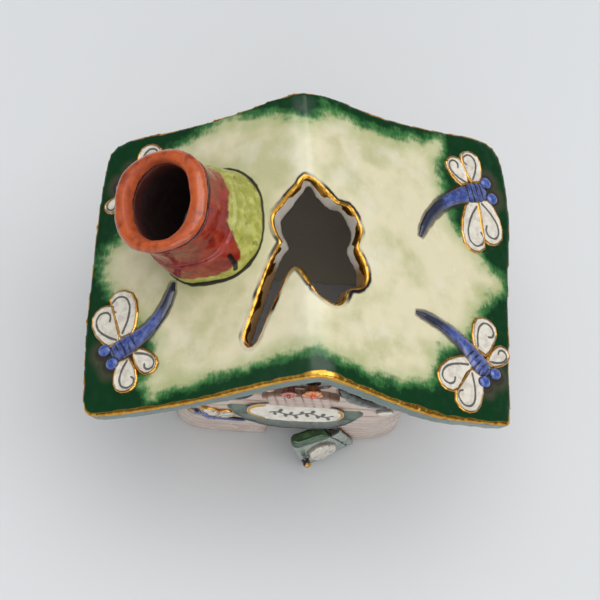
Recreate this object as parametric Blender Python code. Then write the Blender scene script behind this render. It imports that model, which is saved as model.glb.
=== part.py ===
"""Hand-built ceramic cottage birdhouse, as an assembly of separate clay pieces.

The body is one slab wrapped round into a leaning, rounded wall. A second slab is folded over it as the
roof, with a dragonfly cut through it and four relief dragonflies on it. A crooked chimney stands square to
the left slope, and a thick door is fixed ajar in front of the doorway. The ridge runs along Y, the front
faces -Y, and the walls' foot stands on Z = 0. All dimensions are in millimetres and are turned into metres
when a mesh is made.
"""

import math

import bmesh
import bpy
from mathutils import Vector

MM = 0.001
GAP = 0.4  # clearance left between two pieces that touch on the real object

# Roof slab
RIDGE_HEIGHT = 114.5
RIDGE_CLIMB = 0.03  # the ridge rises a little towards the back, mm per mm
RIDGE_OFFSET = 0.5
RIDGE_SKEW = -0.06  # the ridge line drifts to the left towards the back, mm per mm
RIDGE_RADIUS = 9.5  # of the fold, on the upper surface
ROOF_PITCH = math.radians(31.8)
SLAB_THICKNESS = 6.2
PLATE_SIZE = (184.0, 122.0)
PLATE_CELLS = (44, 16)
ROOF_WAVE = 0.7  # height of the slab's unevenness

# Body
BODY_CENTRE = (1.0, 0.0)
BODY_HALF = (43.5, 44.0)
BODY_TURN = math.radians(-2.5)
CORNER_RADII = (17.0, 18.0, 18.0, 15.0)  # front right, back right, back left, front left
WALL_THICKNESS = 6.0
LEAN_HEIGHT = 52.0  # the walls lean outwards up to here, and are upright above
LEAN = (1.5, 9.5)  # how far the foot is drawn in, across and along
WALL_SEGMENTS = 84
WALL_LEVELS = 9

# Chimney, square to the left slope
CHIMNEY_ACROSS = -38.0  # from the ridge, along the slope
CHIMNEY_ALONG = 9.0
CHIMNEY_LENGTH = 30.5
CHIMNEY_DRIFT = (-3.3, -1.3)  # how far the mouth leans off square
CHIMNEY_RADIUS = 16.8
CHIMNEY_BORE = (10.6, 12.4)
RIM_HEIGHT = 4.6
RIM_OVERHANG = 0.8
FOOT_HEIGHT = 13.0
FOOT_FLARE = 2.4
CHIMNEY_SEGMENTS = 36

# Doorway and door
DOORWAY = (
    (-8.5, -2.0), (-8.9, 30.0), (-5.5, 34.4), (3.0, 35.5),
    (11.0, 34.4), (15.6, 30.0), (19.8, 14.0), (23.6, -2.0),
)
DOOR_THICKNESS = 5.8
DOOR_HEIGHT = 33.0
DOOR_FOOT = ((23.0, -38.6), (6.2, -47.3))  # hinge side and free side of the outer face
DOOR_HEAD = ((12.6, -45.2), (-0.6, -50.0))

COLOURS = {
    "wall_glaze": (0.70, 0.58, 0.50),
    "roof_glaze": (0.62, 0.62, 0.42),
    "chimney_glaze": (0.42, 0.08, 0.05),
    "rim_glaze": (0.60, 0.16, 0.06),
    "moss_glaze": (0.25, 0.29, 0.06),
    "door_glaze": (0.06, 0.20, 0.12),
    "ivory_glaze": (0.74, 0.70, 0.60),
    "ochre_glaze": (0.62, 0.43, 0.24),
    "bark_glaze": (0.05, 0.035, 0.03),
    "sage_glaze": (0.20, 0.28, 0.21),
    "pink_glaze": (0.66, 0.26, 0.22),
    "orange_glaze": (0.75, 0.33, 0.08),
    "blue_glaze": (0.07, 0.10, 0.38),
    "wing_glaze": (0.76, 0.74, 0.66),
}


# ---------------------------------------------------------------- shapes of the two curved surfaces


def roof_wave(across, along):
    """The slab's gentle unevenness, in height."""
    long_wave = math.sin(across / 15.0 + 0.6) * math.cos(along / 19.0)
    short_wave = 0.5 * math.sin(along / 11.0 + across / 31.0)
    return ROOF_WAVE * (long_wave + short_wave)


def ridge_x(y):
    return RIDGE_OFFSET + RIDGE_SKEW * y


def ridge_z(y):
    return RIDGE_HEIGHT + RIDGE_CLIMB * y


def folded(across, y, height):
    """A point of the flat slab, folded over the ridge. across runs along the upper surface from the ridge."""
    side = math.copysign(1.0, across)
    turn = min(abs(across) / RIDGE_RADIUS, ROOF_PITCH)
    run = abs(across) - RIDGE_RADIUS * turn
    reach = RIDGE_RADIUS + height
    out = reach * math.sin(turn) + run * math.cos(ROOF_PITCH)
    up = reach * math.cos(turn) - RIDGE_RADIUS - run * math.sin(ROOF_PITCH)
    return Vector((ridge_x(y) + side * out, y, ridge_z(y) + up + roof_wave(side * out, y)))


def unfolded(x, y):
    """How far along the slab, from the ridge, the point of the upper surface above x, y lies."""
    out = x - ridge_x(y)
    bend = RIDGE_RADIUS * math.sin(ROOF_PITCH)
    if abs(out) <= bend:
        return RIDGE_RADIUS * math.asin(out / RIDGE_RADIUS)
    return math.copysign(RIDGE_RADIUS * ROOF_PITCH + (abs(out) - bend) / math.cos(ROOF_PITCH), out)


def on_roof(x, y, height):
    """A point at a height above the roof, over the plan position x, y."""
    return folded(unfolded(x, y), y, height)


def roof_underside(x, y):
    """Height of the slab's lower surface above x, y."""
    out = abs(x - ridge_x(y))
    radius = RIDGE_RADIUS - SLAB_THICKNESS
    bend = radius * math.sin(ROOF_PITCH)
    if out <= bend:
        up = math.sqrt(radius**2 - out**2) - RIDGE_RADIUS
    else:
        up = radius * math.cos(ROOF_PITCH) - RIDGE_RADIUS - (out - bend) * math.tan(ROOF_PITCH)
    return ridge_z(y) + up + roof_wave(x - ridge_x(y), y)


def body_plan():
    """The body's outer outline, its normals, and its length from the front's middle, going to the right."""
    half_x, half_y = BODY_HALF
    corners = ((1, -1), (1, 1), (-1, 1), (-1, -1))
    points = [(Vector((0.0, -half_y)), Vector((0.0, -1.0)))]
    for index, ((sign_x, sign_y), radius) in enumerate(zip(corners, CORNER_RADII)):
        centre = Vector((sign_x * (half_x - radius), sign_y * (half_y - radius)))
        start = -math.pi / 2 + index * math.pi / 2
        for step in range(13):
            angle = start + step / 12 * math.pi / 2
            normal = Vector((math.cos(angle), math.sin(angle)))
            points.append((centre + radius * normal, normal))
    points.append(points[0])
    lengths = [0.0]
    for (here, _), (there, _) in zip(points, points[1:]):
        lengths.append(lengths[-1] + (there - here).length)
    return points, lengths


PLAN_POINTS, PLAN_LENGTHS = body_plan()
PLAN_LENGTH = PLAN_LENGTHS[-1]


def on_wall(along, z, height):
    """A point at a height off the wall's outer face. along runs round the body from the front's middle."""
    along %= PLAN_LENGTH
    index = max(i for i, length in enumerate(PLAN_LENGTHS[:-1]) if length <= along)
    share = (along - PLAN_LENGTHS[index]) / (PLAN_LENGTHS[index + 1] - PLAN_LENGTHS[index])
    place = PLAN_POINTS[index][0].lerp(PLAN_POINTS[index + 1][0], share)
    normal = PLAN_POINTS[index][1].lerp(PLAN_POINTS[index + 1][1], share).normalized()
    drawn_in = max(0.0, 1.0 - z / LEAN_HEIGHT)
    place += normal * height - Vector((normal.x * LEAN[0], normal.y * LEAN[1])) * drawn_in
    turn = math.cos(BODY_TURN), math.sin(BODY_TURN)
    x = BODY_CENTRE[0] + place.x * turn[0] - place.y * turn[1]
    y = BODY_CENTRE[1] + place.x * turn[1] + place.y * turn[0]
    return Vector((x, y, z))


def on_front(x, z, height):
    """A point at a height off the front wall, at the plan position x."""
    return on_wall(x - BODY_CENTRE[0], z, height)


# ---------------------------------------------------------------- mesh helpers

HALF_ROUND = (
    (-1.0, 0.0), (-0.85, 0.55), (-0.45, 0.9), (0.0, 1.0),
    (0.45, 0.9), (0.85, 0.55), (1.0, 0.0), (0.0, 0.0),
)


def material(slot):
    """The glaze of one slot, made once. Each piece then takes a copy of it."""
    found = bpy.data.materials.get(slot)
    if found:
        return found
    made = bpy.data.materials.new(slot)
    made.use_nodes = True
    shader = made.node_tree.nodes["Principled BSDF"]
    shader.inputs["Base Color"].default_value = (*COLOURS[slot], 1.0)
    shader.inputs["Roughness"].default_value = 0.25
    shader.inputs["Metallic"].default_value = 0.0
    return made


def add_object(name, mesh, slot, house, sharp=40.0):
    """Puts a finished mesh in the scene as a named piece of the house, with a glaze of its own."""
    own = material(slot).copy()
    own.name = f"{name}_{slot}"
    mesh.materials.clear()
    mesh.materials.append(own)
    mesh.shade_smooth()
    mesh.set_sharp_from_angle(angle=math.radians(sharp))
    piece = bpy.data.objects.new(name, mesh)
    bpy.context.collection.objects.link(piece)
    piece.parent = house
    return piece


def finished_mesh(name, bm):
    """Turns a bmesh in millimetres into a mesh in metres with its faces pointing out."""
    bmesh.ops.recalc_face_normals(bm, faces=bm.faces[:])
    if bm.calc_volume(signed=True) < 0:
        bmesh.ops.reverse_faces(bm, faces=bm.faces[:])
    bmesh.ops.scale(bm, vec=(MM, MM, MM), verts=bm.verts[:])
    mesh = bpy.data.meshes.new(name)
    bm.to_mesh(mesh)
    bm.free()
    return mesh


def skin(sections, ring):
    """Skins a row of closed sections. A ring of sections closes on itself, and any other gets end caps."""
    bm = bmesh.new()
    rows = [[bm.verts.new(point) for point in section] for section in sections]
    pairs = list(zip(rows, rows[1:]))
    if ring:
        pairs.append((rows[-1], rows[0]))
    for here, there in pairs:
        for index in range(len(here)):
            after = (index + 1) % len(here)
            bm.faces.new((here[index], here[after], there[after], there[index]))
    if not ring:
        bm.faces.new(rows[0])
        bm.faces.new(rows[-1])
    return bm


def pillow(outline, steps, place, base=GAP):
    """A low relief on an outline: each step is a share of the outline's size and a height above the base."""
    bm = bmesh.new()
    middle = sum((Vector(point) for point in outline), Vector((0.0, 0.0))) / len(outline)
    foot = [bm.verts.new((*point, 0.0)) for point in outline]
    top = bm.faces.new(foot)
    for share, height in steps:
        top = bmesh.ops.extrude_discrete_faces(bm, faces=[top])["faces"][0]
        for vert, point in zip(top.verts, outline):
            flat = middle + (Vector(point) - middle) * share
            vert.co = (flat.x, flat.y, height)
    bottom = bm.faces.new(foot[::-1])
    bmesh.ops.poke(bm, faces=[top, bottom])
    for vert in bm.verts:
        vert.co = place(vert.co.x, vert.co.y, vert.co.z + base)
    return bm


def strip(path, widths, heights, place, base=GAP):
    """A half-round roll of clay pressed on along a path, with its own half width and height at each point."""
    sections = []
    for index, point in enumerate(path):
        before = Vector(path[max(index - 1, 0)])
        after = Vector(path[min(index + 1, len(path) - 1)])
        ahead = (after - before).normalized()
        across = Vector((-ahead.y, ahead.x))
        section = []
        for share, rise in HALF_ROUND:
            flat = Vector(point) + across * share * widths[index]
            section.append(place(flat.x, flat.y, base + rise * heights[index]))
        sections.append(section)
    return skin(sections, ring=False)


def smooth_loop(points, per_span):
    """A closed Catmull-Rom curve through the points."""
    count = len(points)
    loop = []
    for index in range(count):
        p0, p1, p2, p3 = (Vector(points[(index + k) % count]) for k in (-1, 0, 1, 2))
        for step in range(per_span):
            t = step / per_span
            square = (2 * p0 - 5 * p1 + 4 * p2 - p3) * t**2
            cube = (3 * p1 - p0 - 3 * p2 + p3) * t**3
            loop.append(0.5 * (2 * p1 + (p2 - p0) * t + square + cube))
    return loop


def oval(centre, half, count=24, power=2.0, turn=0.0):
    """A superellipse: power 2 is an ellipse, and more is squarer."""
    loop = []
    for step in range(count):
        angle = 2 * math.pi * step / count
        x = half[0] * math.copysign(abs(math.cos(angle)) ** (2 / power), math.cos(angle))
        y = half[1] * math.copysign(abs(math.sin(angle)) ** (2 / power), math.sin(angle))
        turned_x = x * math.cos(turn) - y * math.sin(turn)
        turned_y = x * math.sin(turn) + y * math.cos(turn)
        loop.append(Vector((centre[0] + turned_x, centre[1] + turned_y)))
    return loop


def prism(name, loop, low, high, axis="Z"):
    """A cutter: a flat loop stretched from low to high along Z, or along Y for a loop in X and Z."""
    if axis == "Z":
        sections = [[(point[0], point[1], level) for point in loop] for level in (low, high)]
    else:
        sections = [[(point[0], level, point[1]) for point in loop] for level in (low, high)]
    cutter = bpy.data.objects.new(name, finished_mesh(name, skin(sections, ring=False)))
    bpy.context.collection.objects.link(cutter)
    cutter.hide_render = True
    cutter.display_type = "WIRE"
    return cutter


def cut(piece, cutter, operation):
    modifier = piece.modifiers.new(f"{operation.lower()}_{cutter.name}", "BOOLEAN")
    modifier.solver = "EXACT"
    modifier.operation = operation
    modifier.object = cutter


# ---------------------------------------------------------------- body and roof

ROOF_OUTLINE = (
    (3.0, -49.8), (13.0, -50.8), (25.0, -52.8), (35.0, -54.2), (46.0, -55.0), (59.0, -53.8), (69.8, -52.2),
    (72.0, -49.4), (72.6, -30.0), (74.0, 2.7), (75.5, 20.0), (75.3, 34.0), (73.4, 47.0), (69.8, 53.6),
    (62.0, 55.0), (49.0, 53.2), (28.0, 51.2), (16.5, 51.8), (7.5, 52.4), (-2.5, 51.4), (-12.0, 51.0),
    (-22.0, 49.2), (-33.0, 48.0), (-48.5, 47.8), (-62.5, 48.4), (-69.0, 45.0), (-71.2, 35.0), (-72.4, 24.0),
    (-73.4, 12.0), (-74.0, 1.0), (-75.3, -17.0), (-75.5, -36.0), (-75.0, -47.0), (-72.0, -50.2),
    (-61.0, -51.2), (-40.0, -51.9), (-17.2, -50.4), (-7.5, -49.8),
)

# The dragonfly cut through the slab: head at the back, long tail to the front left, lobed wings to the right.
CUT_OUTLINE = (
    (-2.5, 19.5), (-4.6, 17.0), (-7.4, 14.4), (-9.8, 11.4), (-12.1, 9.4), (-12.7, 6.2), (-11.4, 2.0),
    (-9.9, -1.6), (-11.6, -4.2), (-14.2, -9.8), (-17.0, -18.2), (-19.8, -27.1), (-21.5, -32.4),
    (-20.2, -35.6), (-17.9, -34.6), (-15.4, -28.3), (-12.6, -21.9), (-9.9, -16.2), (-7.9, -12.2),
    (-5.4, -10.4), (-2.8, -13.8), (-0.6, -17.1), (2.0, -20.6), (5.2, -23.0), (7.8, -23.7), (10.2, -22.6),
    (11.8, -19.8), (13.0, -17.1), (15.8, -16.2), (18.3, -14.1), (19.0, -10.2), (17.6, -6.2), (15.3, -2.2),
    (16.0, 0.9), (17.1, 4.4), (16.1, 7.3), (14.9, 9.8), (12.6, 12.0), (9.0, 11.9), (6.4, 13.7), (2.2, 17.2),
)


def build_roof(house):
    """Cuts the outline, the dragonfly and the flue from a flat plate, then folds the plate over the ridge."""
    size_x, size_y = PLATE_SIZE
    cells_x, cells_y = PLATE_CELLS
    bm = bmesh.new()
    bmesh.ops.create_grid(bm, x_segments=cells_x, y_segments=cells_y, size=0.5)
    bmesh.ops.scale(bm, vec=(size_x, size_y, 1.0), verts=bm.verts[:])
    grown = bmesh.ops.extrude_face_region(bm, geom=bm.faces[:])["geom"]
    lower = [item for item in grown if isinstance(item, bmesh.types.BMVert)]
    bmesh.ops.translate(bm, vec=(0.0, 0.0, -SLAB_THICKNESS), verts=lower)
    plate = bpy.data.objects.new("flat_plate", finished_mesh("flat_plate", bm))
    bpy.context.collection.objects.link(plate)
    rim = [(unfolded(x, y), y) for x, y in smooth_loop(ROOF_OUTLINE, 2)]
    hole = [(unfolded(x, y), y) for x, y in smooth_loop(CUT_OUTLINE, 2)]
    flue = oval((CHIMNEY_ACROSS, CHIMNEY_ALONG), CHIMNEY_BORE)
    cutters = [
        (prism("rim_cutter", rim, -20.0, 20.0), "INTERSECT"),
        (prism("dragonfly_cutter", hole, -20.0, 20.0), "DIFFERENCE"),
        (prism("flue_cutter", flue, -20.0, 20.0), "DIFFERENCE"),
    ]
    for cutter, operation in cutters:
        cut(plate, cutter, operation)
    bpy.context.view_layer.update()
    flat = bpy.data.meshes.new_from_object(plate.evaluated_get(bpy.context.evaluated_depsgraph_get()))
    bm = bmesh.new()
    bm.from_mesh(flat)
    bmesh.ops.scale(bm, vec=(1 / MM, 1 / MM, 1 / MM), verts=bm.verts[:])
    bmesh.ops.triangulate(bm, faces=bm.faces[:])
    for vert in bm.verts:
        vert.co = folded(vert.co.x, vert.co.y, vert.co.z)
    add_object("roof_slab", finished_mesh("roof_slab", bm), "roof_glaze", house)
    for spare in [plate, *(cutter for cutter, _ in cutters)]:
        bpy.data.objects.remove(spare)


def build_walls(house):
    """One slab wrapped round, trimmed to the roof's underside, with the arched doorway cut in front."""
    steps = [PLAN_LENGTH * index / WALL_SEGMENTS for index in range(WALL_SEGMENTS)]

    def level(share, depth):
        section = []
        for along in steps:
            top = on_wall(along, LEAN_HEIGHT, depth)
            section.append(on_wall(along, share * (roof_underside(top.x, top.y) - GAP), depth))
        return section

    shares = [index / WALL_LEVELS for index in range(WALL_LEVELS + 1)]
    outer = [level(share, 0.0) for share in shares]
    inner = [level(share, -WALL_THICKNESS) for share in reversed(shares)]
    shell = finished_mesh("house_walls", skin(outer + inner, ring=True))
    walls = add_object("house_walls", shell, "wall_glaze", house)
    arch = prism("doorway_cutter", DOORWAY, -60.0, -20.0, axis="Y")
    arch.parent = house
    cut(walls, arch, "DIFFERENCE")


# ---------------------------------------------------------------- chimney


def chimney_section(radius, height, power=2.4):
    """A section of the chimney, square to the slope: a rounded square of one radius, or an oval of two."""
    half = radius if isinstance(radius, tuple) else (radius, radius)
    lean = max(height, 0.0) / CHIMNEY_LENGTH
    centre = (CHIMNEY_ACROSS + CHIMNEY_DRIFT[0] * lean, CHIMNEY_ALONG + CHIMNEY_DRIFT[1] * lean)
    return [folded(x, y, height) for x, y in oval(centre, half, CHIMNEY_SEGMENTS, power)]


def grown_bore(extra):
    return (CHIMNEY_BORE[0] + extra, CHIMNEY_BORE[1] + extra)


def build_chimney(house):
    """A hollow tube on the slope, a rolled rim on its mouth, and a mossy collar of clay round its foot."""
    shoulder = CHIMNEY_LENGTH - RIM_HEIGHT
    tube = [
        chimney_section(CHIMNEY_RADIUS, GAP),
        chimney_section(CHIMNEY_RADIUS, shoulder * 0.4),
        chimney_section(CHIMNEY_RADIUS - 0.6, shoulder * 0.75),
        chimney_section(CHIMNEY_RADIUS, shoulder),
        chimney_section(grown_bore(1.4), shoulder, 2.0),
        chimney_section(grown_bore(1.6), shoulder * 0.5, 2.0),
        chimney_section(grown_bore(0.6), GAP, 2.0),
    ]
    add_object("chimney_tube", finished_mesh("chimney_tube", skin(tube, ring=True)), "chimney_glaze", house)
    low = shoulder + GAP
    high = CHIMNEY_LENGTH
    edge = CHIMNEY_RADIUS + RIM_OVERHANG
    rim = [
        chimney_section(edge - 1.0, low),
        chimney_section(edge, low + 1.2),
        chimney_section(edge, high - 1.8),
        chimney_section(edge - 1.2, high - 0.4),
        chimney_section(edge - 2.2, high),
        chimney_section(grown_bore(2.0), high - 0.2, 2.2),
        chimney_section(grown_bore(1.4), high - 1.4, 2.1),
        chimney_section(grown_bore(1.2), low, 2.0),
    ]
    add_object("chimney_rim", finished_mesh("chimney_rim", skin(rim, ring=True)), "rim_glaze", house)
    inside = CHIMNEY_RADIUS + GAP
    foot = [
        chimney_section(inside + FOOT_FLARE, GAP),
        chimney_section(inside + FOOT_FLARE, GAP + 1.2),
        chimney_section(inside + FOOT_FLARE * 0.7, FOOT_HEIGHT * 0.45),
        chimney_section(inside + 0.7, FOOT_HEIGHT),
        chimney_section(inside, FOOT_HEIGHT),
        chimney_section(inside, GAP),
    ]
    add_object("chimney_foot", finished_mesh("chimney_foot", skin(foot, ring=True)), "moss_glaze", house)


# ---------------------------------------------------------------- door


def door_corner(end, z, side, depth):
    """A corner of the door: end 0 is the hinge side and 1 the free side, and depth goes inwards."""
    share = z / DOOR_HEIGHT
    hinge = Vector(DOOR_FOOT[0]).lerp(Vector(DOOR_HEAD[0]), share)
    free = Vector(DOOR_FOOT[1]).lerp(Vector(DOOR_HEAD[1]), share)
    ahead = (free - hinge).normalized()
    inward = Vector((ahead.y, -ahead.x))
    place = (hinge if end == 0 else free) + ahead * side + inward * depth
    return Vector((place.x, place.y, z))


def on_door(along, z, height):
    """A point at a height off the door's outer face, measured from the free side."""
    return door_corner(1, z, -along, -height)


def build_door(house):
    """A thick slab fixed ajar, the fillet that holds it to the jamb, its oval window and its knob."""
    full = DOOR_THICKNESS
    round_off = 1.6
    sections = []
    for z, inset in ((GAP, 0.0), (11.0, 0.0), (22.0, 0.0), (30.5, 0.0), (32.4, 0.5), (DOOR_HEIGHT, 1.5)):
        sections.append(
            [
                door_corner(0, z, inset, inset),
                door_corner(1, z, -round_off - inset, inset),
                door_corner(1, z, -inset, round_off + inset),
                door_corner(1, z, -inset, full - round_off - inset),
                door_corner(1, z, -round_off - inset, full - inset),
                door_corner(0, z, inset, full - inset),
            ]
        )
    add_object("door_slab", finished_mesh("door_slab", skin(sections, ring=False)), "door_glaze", house)

    fillet = []
    upper, lower = Vector(DOORWAY[5]), Vector(DOORWAY[6])
    for z in (GAP, 8.0, 16.0, 24.0, 31.0):
        jamb_x = lower.x + (z - lower.y) * (upper.x - lower.x) / (upper.y - lower.y)
        fillet.append(
            [
                door_corner(0, z, -GAP, 0.0),
                door_corner(0, z, -GAP, full * 0.6),
                on_front(jamb_x - 0.8, z, GAP + 0.2),
                on_front(jamb_x + 3.4, z, GAP + 0.2),
                on_front(jamb_x + 3.2, z, GAP + 1.6),
            ]
        )
    add_object("door_fillet", finished_mesh("door_fillet", skin(fillet, ring=False)), "door_glaze", house)

    window = pillow(oval((9.4, 15.0), (5.8, 9.6)), ((1.0, 0.9), (0.86, 1.8), (0.5, 2.2)), on_door)
    add_object("door_window", finished_mesh("door_window", window), "ivory_glaze", house)
    knob_steps = ((0.8, 0.8), (1.0, 2.0), (0.8, 3.0), (0.4, 3.5))
    knob = pillow(oval((2.0, 13.5), (1.7, 1.8), 14), knob_steps, on_door)
    add_object("door_knob", finished_mesh("door_knob", knob), "bark_glaze", house)


# ---------------------------------------------------------------- reliefs on the front wall

LEAF_RELIEF = ((1.0, 0.8), (0.93, 1.3), (0.5, 1.5))
PLANTER_OUTLINE = (
    (-12.4, 77.6), (-9.6, 71.6), (0.0, 71.0), (12.0, 71.6),
    (14.4, 78.4), (10.0, 81.6), (0.0, 82.4), (-9.0, 81.4),
)


def build_front_reliefs(house):
    """The lintel, the plaque, the planter, its blossoms, the gable window and the boughs under the eaves."""
    lintel = strip(
        [(-13.0, 38.6), (-6.0, 40.2), (3.0, 40.8), (12.0, 40.2), (19.0, 38.0)],
        [1.6, 2.2, 2.4, 2.2, 1.6],
        [1.0, 1.4, 1.5, 1.4, 1.0],
        on_front,
    )
    add_object("lintel", finished_mesh("lintel", lintel), "ochre_glaze", house)

    plaque_steps = ((1.0, 1.4), (0.95, 2.0), (0.6, 2.0))
    plaque = pillow(oval((0.4, 61.0), (24.0, 7.4), 40, 2.4), plaque_steps, on_front)
    add_object("name_plaque", finished_mesh("name_plaque", plaque), "sage_glaze", house)
    face_steps = ((1.0, 0.5), (0.9, 0.8), (0.5, 0.8))
    face = pillow(oval((0.4, 61.6), (17.2, 5.0), 32, 2.6), face_steps, on_front, 2.0 + 2 * GAP)
    add_object("plaque_face", finished_mesh("plaque_face", face), "ivory_glaze", house)

    planter = pillow(PLANTER_OUTLINE, ((1.0, 2.4), (0.92, 3.2), (0.5, 3.2)), on_front)
    add_object("planter", finished_mesh("planter", planter), "wall_glaze", house)
    pane = pillow(oval((1.4, 90.6), (9.6, 6.8), 20, 3.0), face_steps, on_front)
    add_object("gable_window", finished_mesh("gable_window", pane), "bark_glaze", house)

    rest = 0.8 + 2 * GAP
    for name, centre, half, slot in (
        ("blossom_pink", (-3.6, 86.2), (3.6, 3.0), "pink_glaze"),
        ("blossom_orange", (4.2, 88.0), (3.8, 4.2), "orange_glaze"),
    ):
        bloom = pillow(oval(centre, half, 16), ((1.0, 1.6), (0.8, 3.0), (0.4, 3.6)), on_front, rest)
        add_object(name, finished_mesh(name, bloom), slot, house)
    leaf = pillow(oval((-10.4, 84.4), (2.6, 1.5), 12), ((1.0, 0.6), (0.7, 1.2), (0.4, 1.4)), on_front, rest)
    add_object("blossom_leaf", finished_mesh("blossom_leaf", leaf), "ochre_glaze", house)

    boughs = {
        "eave_bough_right": (
            [(13.6, 86.4), (15.6, 81.6), (18.6, 77.8), (22.6, 74.6), (27.0, 71.4), (31.2, 67.6)],
            [0.9, 2.2, 2.9, 2.8, 2.0, 0.7],
        ),
        "eave_bough_left": (
            [(-23.0, 68.6), (-20.4, 70.6), (-17.8, 72.6), (-15.4, 74.6)],
            [0.7, 1.6, 1.7, 0.7],
        ),
    }
    for name, (path, widths) in boughs.items():
        bough = strip(path, widths, [0.8 + 0.6 * width for width in widths], on_front)
        add_object(name, finished_mesh(name, bough), "bark_glaze", house)
    petal = oval((31.4, 62.6), (3.4, 2.4), 14, 2.0, math.radians(-35))
    leaf = pillow(petal, LEAF_RELIEF, on_front)
    add_object("eave_leaf", finished_mesh("eave_leaf", leaf), "ivory_glaze", house)


# ---------------------------------------------------------------- dragonflies

BODY_PATH = (4.6, 3.4, 1.0, -1.8, -4.4, -7.4, -11.0, -15.0, -19.5, -24.0, -27.0)
BODY_WIDTHS = (2.2, 3.6, 4.1, 4.0, 3.5, 3.0, 2.6, 2.3, 2.0, 1.6, 0.9)
BODY_HEIGHTS = (1.2, 1.9, 2.2, 2.2, 2.0, 1.9, 1.8, 1.7, 1.6, 1.5, 0.9)
TAIL_ROOT = -4.0
TAIL_LENGTH = 24.0
EYE_STEPS = ((1.0, 0.5), (0.86, 1.2), (0.5, 1.7))
WING_STEPS = ((1.0, 0.6), (0.92, 0.9), (0.5, 0.75))
WING_WIDTH = 0.66  # share of the wing's length
WIDEST_WING = 8.6
WING_ROOT = 4.6  # from the body's middle line
WINGS = (("fore_left", 1, 2.2), ("hind_left", 1, -3.2), ("fore_right", -1, 2.2), ("hind_right", -1, -3.2))
WING_OUTLINE = ((0.0, 0.2), (0.14, 0.34), (0.38, 0.47), (0.64, 0.5), (0.86, 0.41), (0.97, 0.2))


def kept_beside(outline, point, ahead, within, margin):
    """Pushes an outline's points to the same side of a line as one point, at least a margin from the line."""
    normal = Vector((-ahead.y, ahead.x)).normalized()
    if normal.dot(within - point) < 0:
        normal = -normal
    return [spot + normal * max(0.0, margin - normal.dot(spot - point)) for spot in outline]


def build_dragonfly(name, house, place, centre, heading, size, tail, tips):
    """One moulded dragonfly: a body that tapers to a bent tail, two eyes and four wings.

    heading is where the head points, and size is the scale of the body and eyes. tail is how much of the
    tail's length is there and how far it turns. tips are the four wing tips, in the order of WINGS.
    """
    heading = math.radians(heading)
    ahead = Vector((math.cos(heading), math.sin(heading)))
    left = Vector((-ahead.y, ahead.x))

    def local(u, v):
        return Vector(centre) + (ahead * u + left * v) * size

    path, widths, heights = [], [], []
    for along, width, height in zip(BODY_PATH, BODY_WIDTHS, BODY_HEIGHTS):
        reach = max(0.0, TAIL_ROOT - along) * tail[0]
        turned = math.radians(tail[1]) * reach / TAIL_LENGTH
        u = along if reach == 0 else TAIL_ROOT - reach * math.cos(turned / 2)
        v = -reach * math.sin(turned / 2)
        path.append(local(u, v))
        widths.append(width * size)
        heights.append(height)
    body = strip(path, widths, heights, place)
    add_object(f"{name}_body", finished_mesh(f"{name}_body", body), "blue_glaze", house)

    for side_name, side in (("left", 1), ("right", -1)):
        eye = pillow(oval(local(7.0, side * 2.9), (2.3 * size, 2.3 * size), 14), EYE_STEPS, place)
        add_object(f"{name}_eye_{side_name}", finished_mesh(f"{name}_eye", eye), "blue_glaze", house)

    roots = [local(root, side * WING_ROOT) for _, side, root in WINGS]
    for index, ((wing_name, side, _), start, tip) in enumerate(zip(WINGS, roots, tips)):
        mate = index ^ 1
        out = Vector(tip) - start
        width = min(WING_WIDTH * out.length, WIDEST_WING)
        across = Vector((-out.y, out.x)).normalized() * width
        half = [start + out * share + across * breadth for share, breadth in WING_OUTLINE]
        other = [start + out * share - across * breadth for share, breadth in WING_OUTLINE]
        between = (start + roots[mate]) / 2
        seam = (Vector(tip) + Vector(tips[mate])) / 2 - between
        outline = kept_beside(half + [Vector(tip)] + other[::-1], between, seam, start, GAP / 2)
        outline = kept_beside(outline, Vector(centre), ahead, start, WING_ROOT * size - GAP / 2)
        wing = pillow(outline, WING_STEPS, place)
        add_object(f"{name}_wing_{wing_name}", finished_mesh(f"{name}_wing", wing), "wing_glaze", house)


def build_dragonflies(house):
    """Four on the roof's corners, and one on the front wall beside the doorway."""
    tips = ((58.9, 48.4), (51.6, 44.1), (68.6, 15.4), (60.3, 10.2))
    build_dragonfly("roof_back_right", house, on_roof, (61.3, 33.1), 25.0, 1.0, (1.25, 42.0), tips)
    tips = ((71.4, -24.5), (64.0, -14.7), (53.8, -50.6), (45.6, -43.0))
    build_dragonfly("roof_front_right", house, on_roof, (60.2, -32.2), -48.0, 1.0, (1.0, 46.0), tips)
    tips = ((-60.2, -44.2), (-51.0, -38.5), (-69.9, -13.1), (-63.2, -7.9))
    build_dragonfly("roof_front_left", house, on_roof, (-61.3, -28.5), 208.0, 1.0, (0.98, 60.0), tips)
    tips = ((-69.6, 23.0), (-63.0, 15.6), (-53.4, 44.0), (-43.4, 37.4))
    build_dragonfly("roof_back_left", house, on_roof, (-57.9, 28.1), 133.0, 1.0, (0.12, 0.0), tips)
    tips = ((-38.2, 37.6), (-29.4, 34.6), (-29.8, 56.0), (-22.0, 54.6))
    build_dragonfly("wall", house, on_front, (-28.6, 43.4), 152.0, 0.8, (0.6, 18.0), tips)


def build():
    for old in list(bpy.data.objects):
        bpy.data.objects.remove(old)
    house = bpy.data.objects.new("cottage", None)
    bpy.context.collection.objects.link(house)
    build_roof(house)
    build_walls(house)
    build_chimney(house)
    build_door(house)
    build_front_reliefs(house)
    build_dragonflies(house)


build()
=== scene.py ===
import math

import bpy
import numpy as np
from bpy.props import FloatProperty, FloatVectorProperty, IntProperty, PointerProperty
from bpy.types import Operator, Panel, PropertyGroup
from mathutils import Matrix, Vector
from mathutils.kdtree import KDTree


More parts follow.
